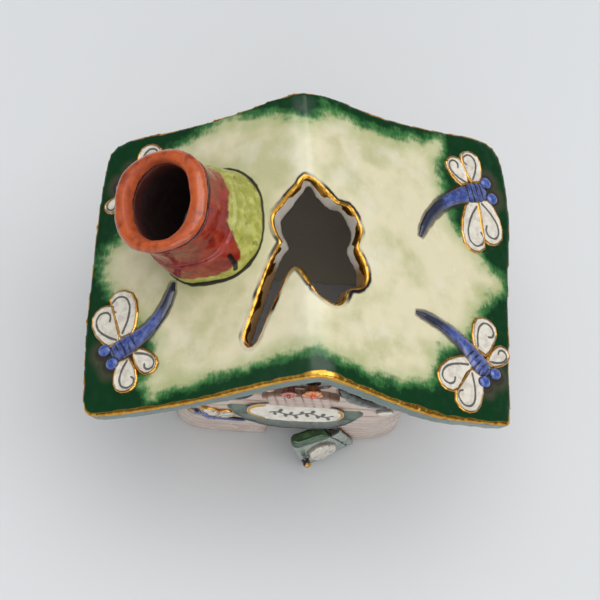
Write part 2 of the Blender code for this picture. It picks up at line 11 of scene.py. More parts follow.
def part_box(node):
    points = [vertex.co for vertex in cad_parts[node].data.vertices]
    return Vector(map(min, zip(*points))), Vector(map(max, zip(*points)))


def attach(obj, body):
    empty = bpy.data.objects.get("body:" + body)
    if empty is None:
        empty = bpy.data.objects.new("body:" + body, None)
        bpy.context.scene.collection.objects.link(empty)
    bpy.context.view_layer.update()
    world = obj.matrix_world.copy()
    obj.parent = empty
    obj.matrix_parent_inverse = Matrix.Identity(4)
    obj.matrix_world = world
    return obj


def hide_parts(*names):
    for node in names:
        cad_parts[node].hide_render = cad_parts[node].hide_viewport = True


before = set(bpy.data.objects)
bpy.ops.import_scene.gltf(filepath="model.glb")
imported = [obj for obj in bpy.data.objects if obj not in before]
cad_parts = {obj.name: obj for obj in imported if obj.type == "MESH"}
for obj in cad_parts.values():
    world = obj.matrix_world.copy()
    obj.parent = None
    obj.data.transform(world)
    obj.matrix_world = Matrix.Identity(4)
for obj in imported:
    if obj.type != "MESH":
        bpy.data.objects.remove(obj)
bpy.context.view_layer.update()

bl_info = {
    "name": "Ceramic cottage",
    "version": (1, 0, 0),
    "blender": (4, 5, 0),
    "location": "3D View > Sidebar > Cottage",
    "description": "Glazes and hand-modelled surfaces for a small ceramic cottage birdhouse",
    "category": "Object",
}

MM = 0.001

ROOF_PITCH = math.radians(31.8)
DRAGONFLIES = ("roof_back_right", "roof_front_right", "roof_front_left", "roof_back_left", "wall")
WING_NAMES = ("fore_left", "hind_left", "fore_right", "hind_right")
SIDES = ("left", "right")

# The pale field that the green border leaves open on the roof, in plan, in millimetres.
PALE_FIELD = (
    (-48.5, 39.8), (-37.5, 44.4), (-29.0, 47.0), (-20.7, 46.4), (-14.0, 45.8), (-8.7, 43.2), (-4.1, 41.2),
    (1.0, 42.8), (5.5, 47.4), (11.9, 46.1), (21.2, 45.5), (30.6, 45.2), (40.2, 46.6), (48.0, 50.4),
    (48.9, 45.9), (47.0, 38.5), (48.3, 32.2), (52.1, 19.8), (55.8, 15.2), (60.7, 12.9), (65.4, 6.5),
    (71.9, 2.5), (70.6, -2.1), (64.8, -7.1), (60.5, -15.7), (54.2, -26.6), (46.5, -30.4), (43.7, -39.2),
    (41.0, -42.9), (30.3, -46.1), (19.6, -45.5), (12.6, -44.5), (5.7, -42.6), (1.7, -40.5), (-3.8, -40.9),
    (-10.0, -41.1), (-19.5, -43.5), (-27.5, -44.8), (-35.5, -45.5), (-43.7, -46.2), (-52.0, -47.0),
    (-54.7, -41.8), (-51.5, -36.4), (-52.6, -27.4), (-59.3, -18.9), (-66.1, -8.6), (-69.8, 0.4),
    (-70.5, 6.2), (-68.5, 9.1), (-64.2, 11.3), (-62.7, 18.3), (-61.0, 29.0),
)

# Past this, left to right and front to back, the slab's upper edges are its rim, in millimetres.
RIM_FROM = (55.0, 40.0)
# The flue hole's edge: within a reach of the collar's middle, and not past it to the right.
FLUE_REACH, FLUE_RIGHT = 17.5, 12.0
# The painted highlight by the ridge, a pale streak: how far left of the middle, and how much further for each
# millimetre back.
HIGHLIGHT_LEFT, HIGHLIGHT_TURN = 2.0, 0.06
# Where the gold is broad along the front eave: its middle and reach in millimetres, and its strength.
GOLD_SPOTS = ((4.0, 9.0, 1.0), (38.0, 9.0, 0.7), (-22.0, 10.0, 0.35))
# Where a point has no mark near it, this distance is stored.
FAR_OFF = 99.0

# Board lines on the walls: how they wave with x and with y (height, length and start), and a groove's depth
# and width.
BOARD_WAVES = ((1.1, 14.0, 0.0), (0.9, 11.0, 1.0))
GROOVE_DEPTH, GROOVE_WIDTH = 0.34, 0.8
# The middle of the room in plan, from which the walls face outwards.
ROOM_MIDDLE = (1.0, 0.0)
# The walls are drawn up until they meet the roof: by this factor, less a drop in millimetres.
WALL_RISE, WALL_DROP = 1.011, 0.05
# The outline painted round the doorway, left to right and up.
DOOR_ARCH = (
    (-8.5, 0.0), (-8.9, 30.0), (-5.5, 34.4), (3.0, 35.5),
    (11.0, 34.4), (15.6, 30.0), (19.8, 14.0), (23.0, 0.0),
)

# The chimney, in millimetres: its height, how far its top leans along the slope's axes, its radius, and where
# the tube meets the rim.
CHIMNEY_HEIGHT, CHIMNEY_LEAN, CHIMNEY_RADIUS, CHIMNEY_JOINT = 30.5, (-3.3, -1.3), 17.0, 26.3
# The collar is let into the slope, and tube and collar are swelled until they join.
COLLAR_SINK, CLAY_SWELL = 0.7, 0.32
# The rim's foot is drawn down over the joint: by how much, below what height, and over what stretch.
RIM_DRAWN, RIM_SEAM, RIM_STRETCH = 0.4, 26.6, 0.8
# The moss: its least height, how much it climbs on the right, and the direction of its crest.
MOSS_FOOT, MOSS_CLIMB, MOSS_CREST = 4.0, 12.0, math.radians(38)
# Dents in the moss: place round the chimney and up it, reach each way, and depth.
DENTS = (
    ((10.0, 9.0), (1.6, 1.1), 0.9), ((6.5, 11.0), (1.1, 1.4), 0.7), ((3.0, 7.0), (1.2, 0.9), 0.6),
    ((14.0, 6.0), (1.3, 1.0), 0.6), ((8.0, 5.0), (2.0, 0.7), -0.7), ((12.0, 12.0), (2.2, 0.9), -0.8),
    ((4.5, 4.0), (1.0, 0.8), 0.4), ((-1.0, 10.0), (1.4, 1.0), -0.5),
)
INK_STROKE = ((-14.5, 8.5), (-15.2, 6.5), (-15.6, 4.5), (-17.0, 2.6))

# The plaque's lean, as a share of the height above a hinge line, and that line's height in millimetres.
PLAQUE_LEAN = 0.3
PLAQUE_FOOT_LEAN = 0.95
PLAQUE_HINGE = 57.6
# The vine on it: its ends, its height, its swing, its turns for each millimetre, and a leaf's reach.
VINE_ENDS, VINE_HEIGHT, VINE_SWING, VINE_TURNS, VINE_LEAF = (-10.5, 11.5), 61.3, 0.7, 0.55, (0.8, 1.3)
# The planter's upright boards: their width in millimetres, and their lean as a share of the height.
PLANTER_BOARD, PLANTER_LEAN = 3.1, 0.2

# A dragonfly's body, in millimetres from its head: how far its grooves run, and where its ink strokes lie.
# Elsewhere a distance past the strokes' fade is stored.
GROOVES_TO, STROKES_BETWEEN, OFF_STROKES = 13.0, (3.4, 14.5), 9.0
# The depth and width of a groove, the stretch at the end of the tail over which it narrows, and by how much.
SEGMENT_DEPTH, SEGMENT_WIDTH, TAIL_TAPER, TAIL_PINCH = 0.12, 0.4, 9.0, 0.12
# How far back an eye is set towards the thorax.
EYE_SHIFT = 1.5

# How far a wing is drawn out of the CAD shape: shares of its own size at the root, the tip and the sides.
WING_ROOT_STRETCH = 0.34
WING_TIP_STRETCH = 0.07
WING_WIDTH_STRETCH = 0.24
# The hook painted on a wing: shares of its length from the root, and of its half width.
WING_CURL = (
    (0.12, -0.1), (0.34, -0.4), (0.58, -0.52), (0.78, -0.34),
    (0.84, 0.06), (0.74, 0.42), (0.6, 0.46), (0.52, 0.26),
)

# The tent's brightness by height: heights from and to, and brightness from and to.
TENT_CROWN = (0.35, 0.9, 0.12, 0.95)
TENT_SKYLINE = (0.04, 0.2, 0.6, 0.0)
TENT_TINT = (0.94, 0.97, 1.0, 1.0)
# Soft lights: place and size in metres, power in watts, and tint. They all aim at the cottage's middle.
LIGHT_AIM = (0.0, 0.0, 0.05)
LIGHTS = {
    "overhead_soft": ((0.2, 0.1, 1.5), (1.6, 1.4), 11.5, (1.0, 1.0, 1.0)),
    "right_soft": ((0.95, 0.1, 1.25), (0.7, 0.9), 1.6, (1.0, 0.98, 0.95)),
    "front_fill": ((0.0, -1.35, 0.6), (1.6, 0.7), 6.5, (1.0, 1.0, 1.0)),
}
# The camera: lens and film width in millimetres, place in metres, and its right, up and back.
LENS, FILM = 108.0, 36.0
CAMERA_PLACE = (-0.04529, -0.23835, 0.6568)
CAMERA_AXES = (
    (0.99712528, 0.0, 0.07577053),
    (-0.0277585, 0.93047729, 0.36529643),
    (-0.07050276, -0.36634959, 0.92780243),
)
FLOOR_DROP = 0.0002


def srgb(red, green, blue):
    """A colour picked on a screen, as the linear values that a shader takes."""
    return tuple(((value / 255 + 0.055) / 1.055) ** 2.4 for value in (red, green, blue))


# ---------------------------------------------------------------- settings


def length(name, description, default, low=0.0, high=500.0):
    return FloatProperty(name=name, description=description, default=default, min=low, max=high)


def colour(name, description, *value):
    return FloatVectorProperty(
        name=name, description=description, default=srgb(*value), size=3, subtype="COLOR", min=0.0, max=1.0
    )


class CottageSizes(PropertyGroup):
    """Sizes of the clay's surface and of the painted marks, in millimetres."""

    slab_grain: length("Slab grain", "Mesh spacing on the roof and walls", 0.8, 0.4, 3.0)
    relief_grain: length("Relief grain", "Mesh spacing on the small reliefs", 0.26, 0.15, 2.0)
    slab_wander: length("Slab wander", "Height of the hand-rolled unevenness", 0.55, 0.0, 2.0)
    sink: length("Sink", "How deep a relief is pressed into the clay under it", 0.85, 0.0, 1.5)
    edge_passes: IntProperty(
        name="Edge passes", description="Rounds of sponging on slab edges", default=5, min=0
    )
    gold_line: length("Gold line", "Width of the gold round the roof and the cut-out", 0.75, 0.0, 4.0)
    black_line: length("Black line", "Width of the painted outline", 0.75, 0.0, 4.0)
    feather: length("Feather", "Reach of the brush strokes at the green border", 5.0, 0.5, 15.0)
    board: length("Board", "Height of one weatherboard on the walls", 7.2, 3.0, 20.0)
    segment: length("Segment", "Length of one segment of a dragonfly", 2.1, 0.8, 5.0)
    floor: length("Floor", "Side of the studio floor", 9000.0, 500.0, 9000.0)


class CottageColours(PropertyGroup):
    """Glaze colours."""

    cream: colour("Cream", "The roof's pale field", 220, 211, 178)
    lichen: colour("Lichen", "Green stains in the pale field", 178, 178, 130)
    forest: colour("Forest", "The roof's border", 8, 54, 24)
    fern: colour("Fern", "Feathered inner strokes of the border", 66, 122, 66)
    slate: colour("Slate", "The slab's edge", 108, 130, 124)
    gold: colour("Gold", "Gold lustre", 226, 160, 52)
    ink: colour("Ink", "Painted outlines", 24, 22, 24)
    bisque: colour("Bisque", "Cut clay walls", 206, 200, 190)
    brick: colour("Brick", "The chimney's body", 148, 42, 28)
    terracotta: colour("Terracotta", "The chimney's rim", 190, 88, 40)
    # Pale pink patches on the chimney and its rim are painted highlights, where the glaze would catch the
    # light.
    highlight_blush: colour("Blush", "Worn, thin glaze on the chimney", 206, 128, 96)
    moss: colour("Moss", "The chimney's mossy foot", 154, 154, 68)
    # The colour of the painted shade deep in the chimney's bore.
    bore_shade: colour("Bore_shade", "Inside the chimney", 28, 10, 9)
    plaster: colour("Plaster", "The boarded walls", 206, 188, 174)
    umber: colour("Umber", "Board lines and washes", 122, 88, 72)
    sage: colour("Sage", "The door's face and the plaque", 96, 122, 106)
    bottle: colour("Bottle", "The door's top and dark leaves", 22, 62, 36)
    ivory: colour("Ivory", "White glaze", 226, 220, 206)
    indigo: colour("Indigo", "Dragonfly bodies", 54, 70, 134)
    tail_grey: colour("Tail grey", "Dragonfly tails", 38, 40, 50)
    rose: colour("Rose", "The pink blossom", 196, 104, 88)
    tangerine: colour("Tangerine", "The orange blossom", 226, 140, 60)
    floor: colour("Floor", "The studio floor", 214, 215, 216)


def sizes():
    return bpy.context.scene.cottage_sizes


def colours():
    return bpy.context.scene.cottage_colours


# ---------------------------------------------------------------- working the clay


def select_only(piece):
    bpy.ops.object.select_all(action="DESELECT")
    piece.select_set(True)
    bpy.context.view_layer.objects.active = piece


def apply_modifier(piece, kind, **values):
    """Adds a modifier, sets it and applies it."""
    select_only(piece)
    bpy.ops.object.modifier_add(type=kind)
    modifier = piece.modifiers[-1]
    for key, value in values.items():
        setattr(modifier, key, value)
    bpy.ops.object.modifier_apply(modifier=modifier.name)


def merged_copy(node, name):
    """A copy of a CAD node with its loose triangles joined, as an object of its own."""
    piece = bpy.data.objects.new(name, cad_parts[node].data.copy())
    piece.data.name = name
    piece.data.materials.clear()
    bpy.context.scene.collection.objects.link(piece)
    select_only(piece)
    bpy.ops.object.mode_set(mode="EDIT")
    bpy.ops.mesh.select_all(action="SELECT")
    bpy.ops.mesh.remove_doubles(threshold=0.001 * MM)
    bpy.ops.object.mode_set(mode="OBJECT")
    return piece


def coordinates(piece):
    """The piece's points, in millimetres."""
    flat = np.empty(len(piece.data.vertices) * 3)
    piece.data.vertices.foreach_get("co", flat)
    return flat.reshape(-1, 3) / MM


def normals(piece):
    flat = np.empty(len(piece.data.vertices) * 3)
    piece.data.vertices.foreach_get("normal", flat)
    return flat.reshape(-1, 3)


def move_points(piece, points):
    piece.data.vertices.foreach_set("co", (points * MM).ravel())
    piece.data.update()


def paint(piece, name, values):
    """Stores one number for each point, for a glaze to read."""
    attribute = piece.data.attributes.get(name) or piece.data.attributes.new(name, "FLOAT", "POINT")
    attribute.data.foreach_set("value", np.asarray(values, dtype=np.float32))


def sponged(piece, grain, passes):
    """Takes a piece up again in fine, even clay and sponges its edges."""
    apply_modifier(piece, "REMESH", mode="VOXEL", voxel_size=grain * MM, adaptivity=0.0)
    if passes:
        apply_modifier(piece, "SMOOTH", factor=0.5, iterations=passes)
    return piece


def modelled(node, name, grain, passes):
    """A CAD node's shape in fine clay."""
    return sponged(merged_copy(node, name), grain, passes)


def cloud(name, size):
    texture = bpy.data.textures.get(name) or bpy.data.textures.new(name, "CLOUDS")
    texture.noise_scale = size * MM
    texture.noise_depth = 1
    return texture


def knead(piece, size, height):
    """Gives a surface the slow unevenness of clay worked by hand."""
    apply_modifier(
        piece, "DISPLACE", texture=cloud(f"clay_{size}", size), texture_coords="LOCAL",
        strength=height * MM, mid_level=0.5,
    )


def bell(distance, width):
    """1 where the distance is 0, fading to nothing past the width."""
    return np.exp(-((distance / width) ** 2))


def line_gap(values, spacing):
    """Distance of each value from the nearest of evenly spaced lines."""
    share = values / spacing
    return np.abs(share - np.round(share)) * spacing


def segment_distance(points, line, closed=False):
    """Distance from each point to a line of straight stretches, in any number of dimensions."""
    line = np.asarray(line, float)
    ends = np.roll(line, -1, axis=0) if closed else line[1:]
    starts = line if closed else line[:-1]
    nearest = np.full(len(points), np.inf)
    for start, end in zip(starts, ends):
        along = end - start
        share = np.clip(((points - start) @ along) / max(float(along @ along), 1e-12), 0.0, 1.0)
        gap = np.linalg.norm(points - start - share[:, None] * along, axis=1)
        nearest = np.minimum(nearest, gap)
    return nearest


def inside(points, loop):
    """True for each point within a closed loop in the plane."""
    loop = np.asarray(loop, float)
    within = np.zeros(len(points), bool)
    x, y = points[:, 0], points[:, 1]
    for (x1, y1), (x2, y2) in zip(loop, np.roll(loop, -1, axis=0)):
        crosses = (y1 > y) != (y2 > y)
        rise = y2 - y1 if y2 != y1 else 1e-12
        within ^= crosses & (x < (x2 - x1) * (y - y1) / rise + x1)
    return within


def cloud_distance(points, samples):
    """Distance from each point to the nearest of many samples."""
    tree = KDTree(len(samples))
    for index, sample in enumerate(samples):
        tree.insert(sample, index)
    tree.balance()
    return np.array([tree.find(point)[2] for point in points])


def hull(points):
    """The convex outline of points in the plane."""
    ordered = sorted(map(tuple, np.round(points, 4)))

    def half(row):
        kept = []
        for point in row:
            while len(kept) > 1:
                (ax, ay), (bx, by) = kept[-2], kept[-1]
                if (bx - ax) * (point[1] - ay) - (by - ay) * (point[0] - ax) > 0:
                    break
                kept.pop()
            kept.append(point)
        return kept[:-1]

    return np.array(half(ordered) + half(ordered[::-1]))


def curve_through(points, per_span=8):
    """An open Catmull-Rom curve through the points."""
    points = np.asarray(points, float)
    padded = np.vstack([points[0], points, points[-1]])
    line = []
    for p0, p1, p2, p3 in zip(padded, padded[1:], padded[2:], padded[3:]):
        for step in range(per_span):
            t = step / per_span
            square = (2 * p0 - 5 * p1 + 4 * p2 - p3) * t**2
            cube = (3 * p1 - p0 - 3 * p2 + p3) * t**3
            line.append(0.5 * (2 * p1 + (p2 - p0) * t + square + cube))
    line.append(points[-1])
    return np.array(line)


def finished(piece, glaze, slot, *nodes):
    """Glazes a piece, puts it on the body and lets it stand for its CAD nodes."""
    select_only(piece)
    bpy.ops.object.shade_smooth()
    piece.data.materials.append(glaze)
    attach(piece, "root")
    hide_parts(*nodes)


def joined(pieces, name):
    """Several pieces as one."""
    bpy.ops.object.select_all(action="DESELECT")
    for piece in pieces:
        piece.select_set(True)
    bpy.context.view_layer.objects.active = pieces[0]
    bpy.ops.object.join()
    pieces[0].name = name
    pieces[0].data.name = name
    return pieces[0]


# ---------------------------------------------------------------- surfaces that reliefs lie on


def slope_axes(x):
    """Across the slope, along the ridge, and out of the slope, on the side of the roof where x is."""
    side = 1.0 if x > 0 else -1.0
    across = np.array([math.cos(ROOF_PITCH), 0.0, -side * math.sin(ROOF_PITCH)])
    out = np.array([side * math.sin(ROOF_PITCH), 0.0, math.cos(ROOF_PITCH)])
    return across, np.array([0.0, 1.0, 0.0]), out


def wall_axes():
    """Across the front wall, up it, and out of it."""
    return np.array([1.0, 0.0, 0.0]), np.array([0.0, 0.0, 1.0]), np.array([0.0, -1.0, 0.0])


def door_axes():
    """Along the door from its free side, up it, and out of its outer face."""
    low, high = (np.array(corner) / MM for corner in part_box("door_slab"))
    along = np.array([high[0] - low[0], high[1] - low[1], 0.0])
    along /= np.linalg.norm(along)
    return along, np.array([0.0, 0.0, 1.0]), np.array([along[1], -along[0], 0.0])


def pressed(piece, axes, depth):
    """Sinks a relief into the surface behind it."""
    move_points(piece, coordinates(piece) - axes[2] * depth)


def flat_view(points, axes):
    """Points seen straight on, along the third axis."""
    return np.stack([points @ axes[0], points @ axes[1]], axis=1)


def lifted(flat, axes):
    """Moves in the plane of two axes, as moves in space."""
    return flat[:, :1] * axes[0] + flat[:, 1:] * axes[1]


def paint_edge(piece, node, axes):
    """Stores how far each point is from the relief's outline, and how far it faces out."""
    outline = hull(flat_view(node_points(node), axes))
    paint(piece, "edge", segment_distance(flat_view(coordinates(piece), axes), outline, closed=True))
    paint(piece, "out", normals(piece) @ axes[2])


def node_points(node):
    return coordinates(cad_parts[node])


def node_samples(nodes, spacing=0.4):
    """Points close together along the edges of CAD nodes, in millimetres."""
    rows = []
    for node in nodes:
        points = node_points(node)
        rows.append(points)
        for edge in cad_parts[node].data.edges:
            start, end = points[edge.vertices[0]], points[edge.vertices[1]]
            count = int(np.linalg.norm(end - start) / spacing)
            if count > 1:
                shares = np.linspace(0.0, 1.0, count + 1)[1:-1, None]
                rows.append(start + (end - start) * shares)
    return np.vstack(rows)


# ---------------------------------------------------------------- glazes


# Clouds that are as long as they are wide and high.
EVEN = (1.0, 1.0, 1.0)
# Roughness: the glaze where it is glossy and where it is satin, what a dull place adds, and the gold's own.
GLOSSY, SATIN, DULLER, LUSTRE = 0.12, 0.3, 0.45, 0.24


class Glaze:
    """A procedural glaze. Its patterns read Object coordinates and the numbers stored on the piece."""

    def __init__(self, name, roughness=0.2, coat=0.2):
        self.material = bpy.data.materials.new(name)
        self.material.use_nodes = True
        self.tree = self.material.node_tree
        self.shader = self.tree.nodes["Principled BSDF"]
        self.shader.inputs["Roughness"].default_value = roughness
        self.shader.inputs["Coat Weight"].default_value = coat
        self.shader.inputs["Coat Roughness"].default_value = 0.06
        self.shader.inputs["IOR"].default_value = 1.42
        self.place = self.new("TexCoord").outputs["Object"]

    def new(self, kind):
        return self.tree.nodes.new("ShaderNode" + kind)

    def plug(self, socket, value):
        if isinstance(value, bpy.types.NodeSocket):
            self.tree.links.new(value, socket)
        elif isinstance(socket.default_value, float):
            socket.default_value = value
        else:
            parts = tuple(value)
            socket.default_value = parts + (1.0,) if len(socket.default_value) == len(parts) + 1 else parts

    def noise(self, size, detail=3.0, stretch=EVEN, shift=0.0, turn=0.0):
        """Cloudy variation from 0 to 1, with marks of a size in millimetres."""
        mapping = self.new("Mapping")
        self.plug(mapping.inputs["Vector"], self.place)
        mapping.inputs["Location"].default_value = (shift, shift * 0.7, shift * 1.3)
        mapping.inputs["Rotation"].default_value = (0.0, 0.0, turn)
        mapping.inputs["Scale"].default_value = [share / (size * MM) for share in stretch]
        texture = self.new("TexNoise")
        texture.inputs["Scale"].default_value = 1.0
        texture.inputs["Detail"].default_value = detail
        self.plug(texture.inputs["Vector"], mapping.outputs["Vector"])
        return texture.outputs["Fac"]

    def stored(self, name):
        node = self.new("Attribute")
        node.attribute_name = name
        return node.outputs["Fac"]

    def axis(self, name):
        """One Object coordinate, in millimetres."""
        node = self.new("SeparateXYZ")
        self.plug(node.inputs[0], self.place)
        return self.math("MULTIPLY", node.outputs[name], 1 / MM)

    def math(self, operation, first, second=0.0, clamp=False):
        node = self.new("Math")
        node.operation = operation
        node.use_clamp = clamp
        self.plug(node.inputs[0], first)
        self.plug(node.inputs[1], second)
        return node.outputs[0]

    def add(self, *values):
        total = values[0]
        for value in values[1:]:
            total = self.math("ADD", total, value)
        return total

    def times(self, *values):
        total = values[0]
        for value in values[1:]:
            total = self.math("MULTIPLY", total, value)
        return total

    def ramp(self, value, low, high, start=0.0, end=1.0):
        """Turns low to high into start to end, smoothly."""
        node = self.new("MapRange")
        node.interpolation_type = "SMOOTHSTEP"
        self.plug(node.inputs["Value"], value)
        for socket, number in (("From Min", low), ("From Max", high), ("To Min", start), ("To Max", end)):
            self.plug(node.inputs[socket], number)
        return node.outputs["Result"]

    def mix(self, share, first, second):
        node = self.new("Mix")
        node.data_type = "RGBA"
        self.plug(node.inputs[0], share)
        self.plug(node.inputs[6], first)
        self.plug(node.inputs[7], second)
        return node.outputs[2]

    def mottle(self, *layers):
        """Clouds of several sizes added up: each has its weight, then what noise takes."""
        return self.add(*(self.times(self.noise(*values), weight) for weight, *values in layers))

    def wobble(self, value, size, reach, shift=0.0):
        """Adds a hand's unsteadiness to a distance."""
        return self.add(value, self.times(self.add(self.noise(size, 2.0, shift=shift), -0.5), reach))

    def mark(self, name, size, reach, shift=0.0):
        """A stored distance with a hand's unsteadiness."""
        return self.wobble(self.stored(name), size, reach, shift)

    def line(self, tint, colour, distance, near, far, share):
        """Lays a share of a colour on a tint up to a near distance, fading out by a far one."""
        return self.mix(self.ramp(distance, near, far, share, 0.0), tint, colour)

    def patches(self, tint, colour, low, high, share, size, detail=4.0, stretch=EVEN, shift=0.0):
        """Lays cloudy patches of a colour, up to a share of it, on a tint."""
        clouds = self.noise(size, detail, stretch, shift)
        return self.mix(self.ramp(clouds, low, high, 0.0, share), tint, colour)

    def specks(self, tint, dark, share):
        """Iron specks in a glaze."""
        spots = self.ramp(self.noise(0.7, 2.0, shift=12.0), 0.74, 0.8)
        return self.mix(self.times(spots, share), tint, dark)

    def finish(self, tint, gold=None, dull=None, lumps=0.1):
        """Joins the colour, the gold lustre, the dull patches and the surface's fine relief to the shader."""
        roughness = self.ramp(self.noise(3.0, 4.0, shift=2.0), 0.3, 0.8, GLOSSY, SATIN)
        if dull is not None:
            roughness = self.add(roughness, self.times(dull, DULLER))
        if gold is not None:
            leaf = self.mix(self.noise(2.2, 4.0, shift=9.0), srgb(250, 196, 84), srgb(150, 84, 20))
            tint = self.mix(gold, tint, leaf)
            self.plug(self.shader.inputs["Metallic"], gold)
            rest = self.math("SUBTRACT", 1.0, gold)
            roughness = self.add(self.times(roughness, rest), self.times(gold, LUSTRE))
        self.plug(self.shader.inputs["Base Color"], tint)
        self.plug(self.shader.inputs["Roughness"], roughness)
        surface = self.add(self.noise(4.5, 3.0, shift=5.0), self.times(self.noise(0.9, 3.0, shift=7.0), 0.22))
        bump = self.new("Bump")
        bump.inputs["Strength"].default_value = 0.6
        bump.inputs["Distance"].default_value = lumps * MM
        self.plug(bump.inputs["Height"], surface)
        self.plug(self.shader.inputs["Normal"], bump.outputs["Normal"])
        return self.material


def roof_glaze():
    """Cream field with a painted highlight by the ridge, feathered green border, gold and black lines, slate
    edge and pale cut walls.
    """
    size, shade = sizes(), colours()
    g = Glaze("roof_glaze", coat=0.05)
    up, rim, cut, field = (g.stored(name) for name in ("up", "rim", "cut", "field"))
    stain = g.mottle((0.6, 26.0, 5.0), (0.4, 7.0, 5.0, EVEN, 3.0))
    cream = g.mix(g.ramp(stain, 0.42, 0.66, 0.0, 0.75), shade.cream, shade.lichen)
    cream = g.patches(cream, srgb(226, 222, 206), 0.52, 0.72, 0.35, 13.0, 6.0, shift=21.0)
    # A painted highlight: a pale streak along the ridge, where the fold would reflect the overhead light.
    cream = g.line(cream, srgb(226, 224, 206), g.math("ABSOLUTE", g.stored("ridge")), 1.0, 5.5, 0.25)
    cream = g.line(cream, srgb(150, 166, 104), g.wobble(field, 7.0, 7.0, 16.0), 0.5, 8.0, 0.55)

    streaks = g.mottle(
        (0.9, 2.2, 4.0, (0.35, 1.0, 1.0), 4.0, 0.5), (1.3, 8.0, 3.0, EVEN, 6.0),
        (0.5, 0.8, 3.0, (1.0, 0.4, 1.0), 8.0, -0.4),
    )
    depth = g.add(field, g.times(g.add(streaks, -1.35), size.feather))
    border = g.mix(g.ramp(depth, -3.4, 0.2), shade.forest, shade.fern)
    border = g.patches(border, srgb(10, 44, 28), 0.45, 0.75, 0.5, 5.0, shift=14.0)
    tint = g.mix(g.ramp(depth, -0.9, 2.6), border, cream)

    tint = g.line(tint, srgb(78, 72, 58), g.mark("heads", 3.0, 1.5, 19.0), 1.0, 4.4, 0.62)
    tint = g.line(tint, srgb(52, 46, 40), g.mark("relief", 3.0, 0.7, 18.0), 0.45, 1.0, 0.75)
    foot = g.mark("foot", 6.0, 1.2, 20.0)
    tint = g.line(tint, shade.lichen, foot, 1.5, 7.0, 0.45)
    tint = g.line(tint, shade.ink, foot, 0.8, 1.3, 0.95)
    near = size.gold_line + size.black_line
    ink = g.times(g.ramp(g.wobble(cut, 5.0, 1.0, 24.0), near, near + 0.9, 1.0, 0.0), g.ramp(up, 0.1, 0.5))
    pressure = g.ramp(g.noise(13.0, 2.0, shift=35.0), 0.36, 0.56, 0.15, 1.0)
    tint = g.mix(g.times(ink, pressure), tint, shade.ink)

    under = g.mix(g.noise(9.0, 4.0, shift=30.0), srgb(196, 190, 176), srgb(160, 156, 142))
    slate = g.mix(g.noise(6.0, 4.0, shift=31.0), shade.slate, srgb(74, 96, 90))
    bisque = g.mix(g.noise(4.0, 4.0, shift=32.0), shade.bisque, srgb(166, 156, 144))
    slot = g.times(g.ramp(g.axis("Y"), -5.0, -10.0), g.ramp(cut, 4.0, 7.0, 0.9, 0.7))
    bisque = g.mix(slot, bisque, srgb(122, 88, 44))
    side = g.mix(g.ramp(cut, 8.5, 11.0), bisque, slate)
    low = g.mix(g.ramp(up, -0.75, -0.4), under, side)
    tint = g.mix(g.ramp(up, 0.1, 0.55), low, tint)

    front = g.add(g.ramp(g.axis("Y"), -44.0, -50.0, 0.0, 0.5), g.ramp(g.stored("bright"), 0.0, 1.0, 0.0, 1.1))
    edge = g.wobble(rim, 5.0, 1.5, 26.0)
    gold_rim = g.times(g.ramp(edge, g.add(front, 0.45), g.add(front, 0.9), 1.0, 0.0), g.ramp(up, -0.1, 0.35))
    run = g.ramp(g.noise(7.0, 2.0, shift=33.0), 0.44, 0.62, 0.0, 2.4)
    reach = g.add(g.times(g.ramp(up, 0.15, 0.5, 1.0, 0.0), run), size.gold_line)
    gold_cut = g.ramp(g.wobble(cut, 14.0, 1.6, 34.0), reach, g.add(reach, 0.4), 1.0, 0.0)
    gold = g.math("MAXIMUM", gold_rim, gold_cut, clamp=True)
    return g.finish(g.specks(tint, srgb(70, 62, 44), 0.35), gold, lumps=0.16)


def boarded_glaze(name):
    """Pinkish plaster boards with brown painted lines: the glaze and its colour so far."""
    shade = colours()
    g = Glaze(name)
    wash = g.mottle((0.6, 16.0, 5.0), (0.4, 4.0, 4.0, (0.4, 0.4, 1.6), 3.0))
    tint = g.mix(g.ramp(wash, 0.4, 0.66), shade.plaster, srgb(184, 156, 140))
    tint = g.patches(tint, srgb(222, 210, 198), 0.55, 0.75, 0.6, 10.0, shift=11.0)
    line = g.mark("boards", 9.0, 0.5, 2.0)
    pressure = g.ramp(g.noise(7.0, 3.0, shift=22.0), 0.34, 0.56, 0.15, 0.95)
    tint = g.mix(g.times(g.ramp(line, 0.1, 0.6, 1.0, 0.0), pressure), tint, shade.umber)
    return g, g.line(tint, srgb(158, 122, 104), line, 0.3, 2.2, 0.3)


def wall_glaze():
    """Boards with grass at the foot, brown round the doorway and the reliefs, and bare clay inside."""
    g, tint = boarded_glaze("wall_glaze")
    grass = g.add(g.axis("Z"), g.times(g.noise(2.4, 4.0, (1.0, 1.0, 0.25), 5.0), 9.0), -7.0)
    behind = g.ramp(g.axis("Y"), -31.0, -22.0)
    tint = g.mix(g.times(g.ramp(grass, 0.0, 5.0, 0.8, 0.0), behind), tint, srgb(104, 118, 70))
    tint = g.line(tint, srgb(150, 116, 92), g.mark("arch", 5.0, 1.0, 14.0), 0.2, 3.0, 0.75)
    tint = g.line(tint, srgb(64, 58, 54), g.mark("relief", 3.0, 0.8, 15.0), 0.3, 1.3, 0.8)
    tint = g.mix(g.ramp(g.stored("inner"), 0.2, 0.7), tint, srgb(196, 186, 168))
    return g.finish(g.specks(tint, srgb(84, 60, 48), 0.5), lumps=0.14)


def planter_glaze():
    """Boards with a brown outline."""
    g, tint = boarded_glaze("planter_glaze")
    return g.finish(g.line(tint, colours().umber, g.mark("edge", 3.0, 0.5, 6.0), 0.2, 0.8, 0.8), lumps=0.14)


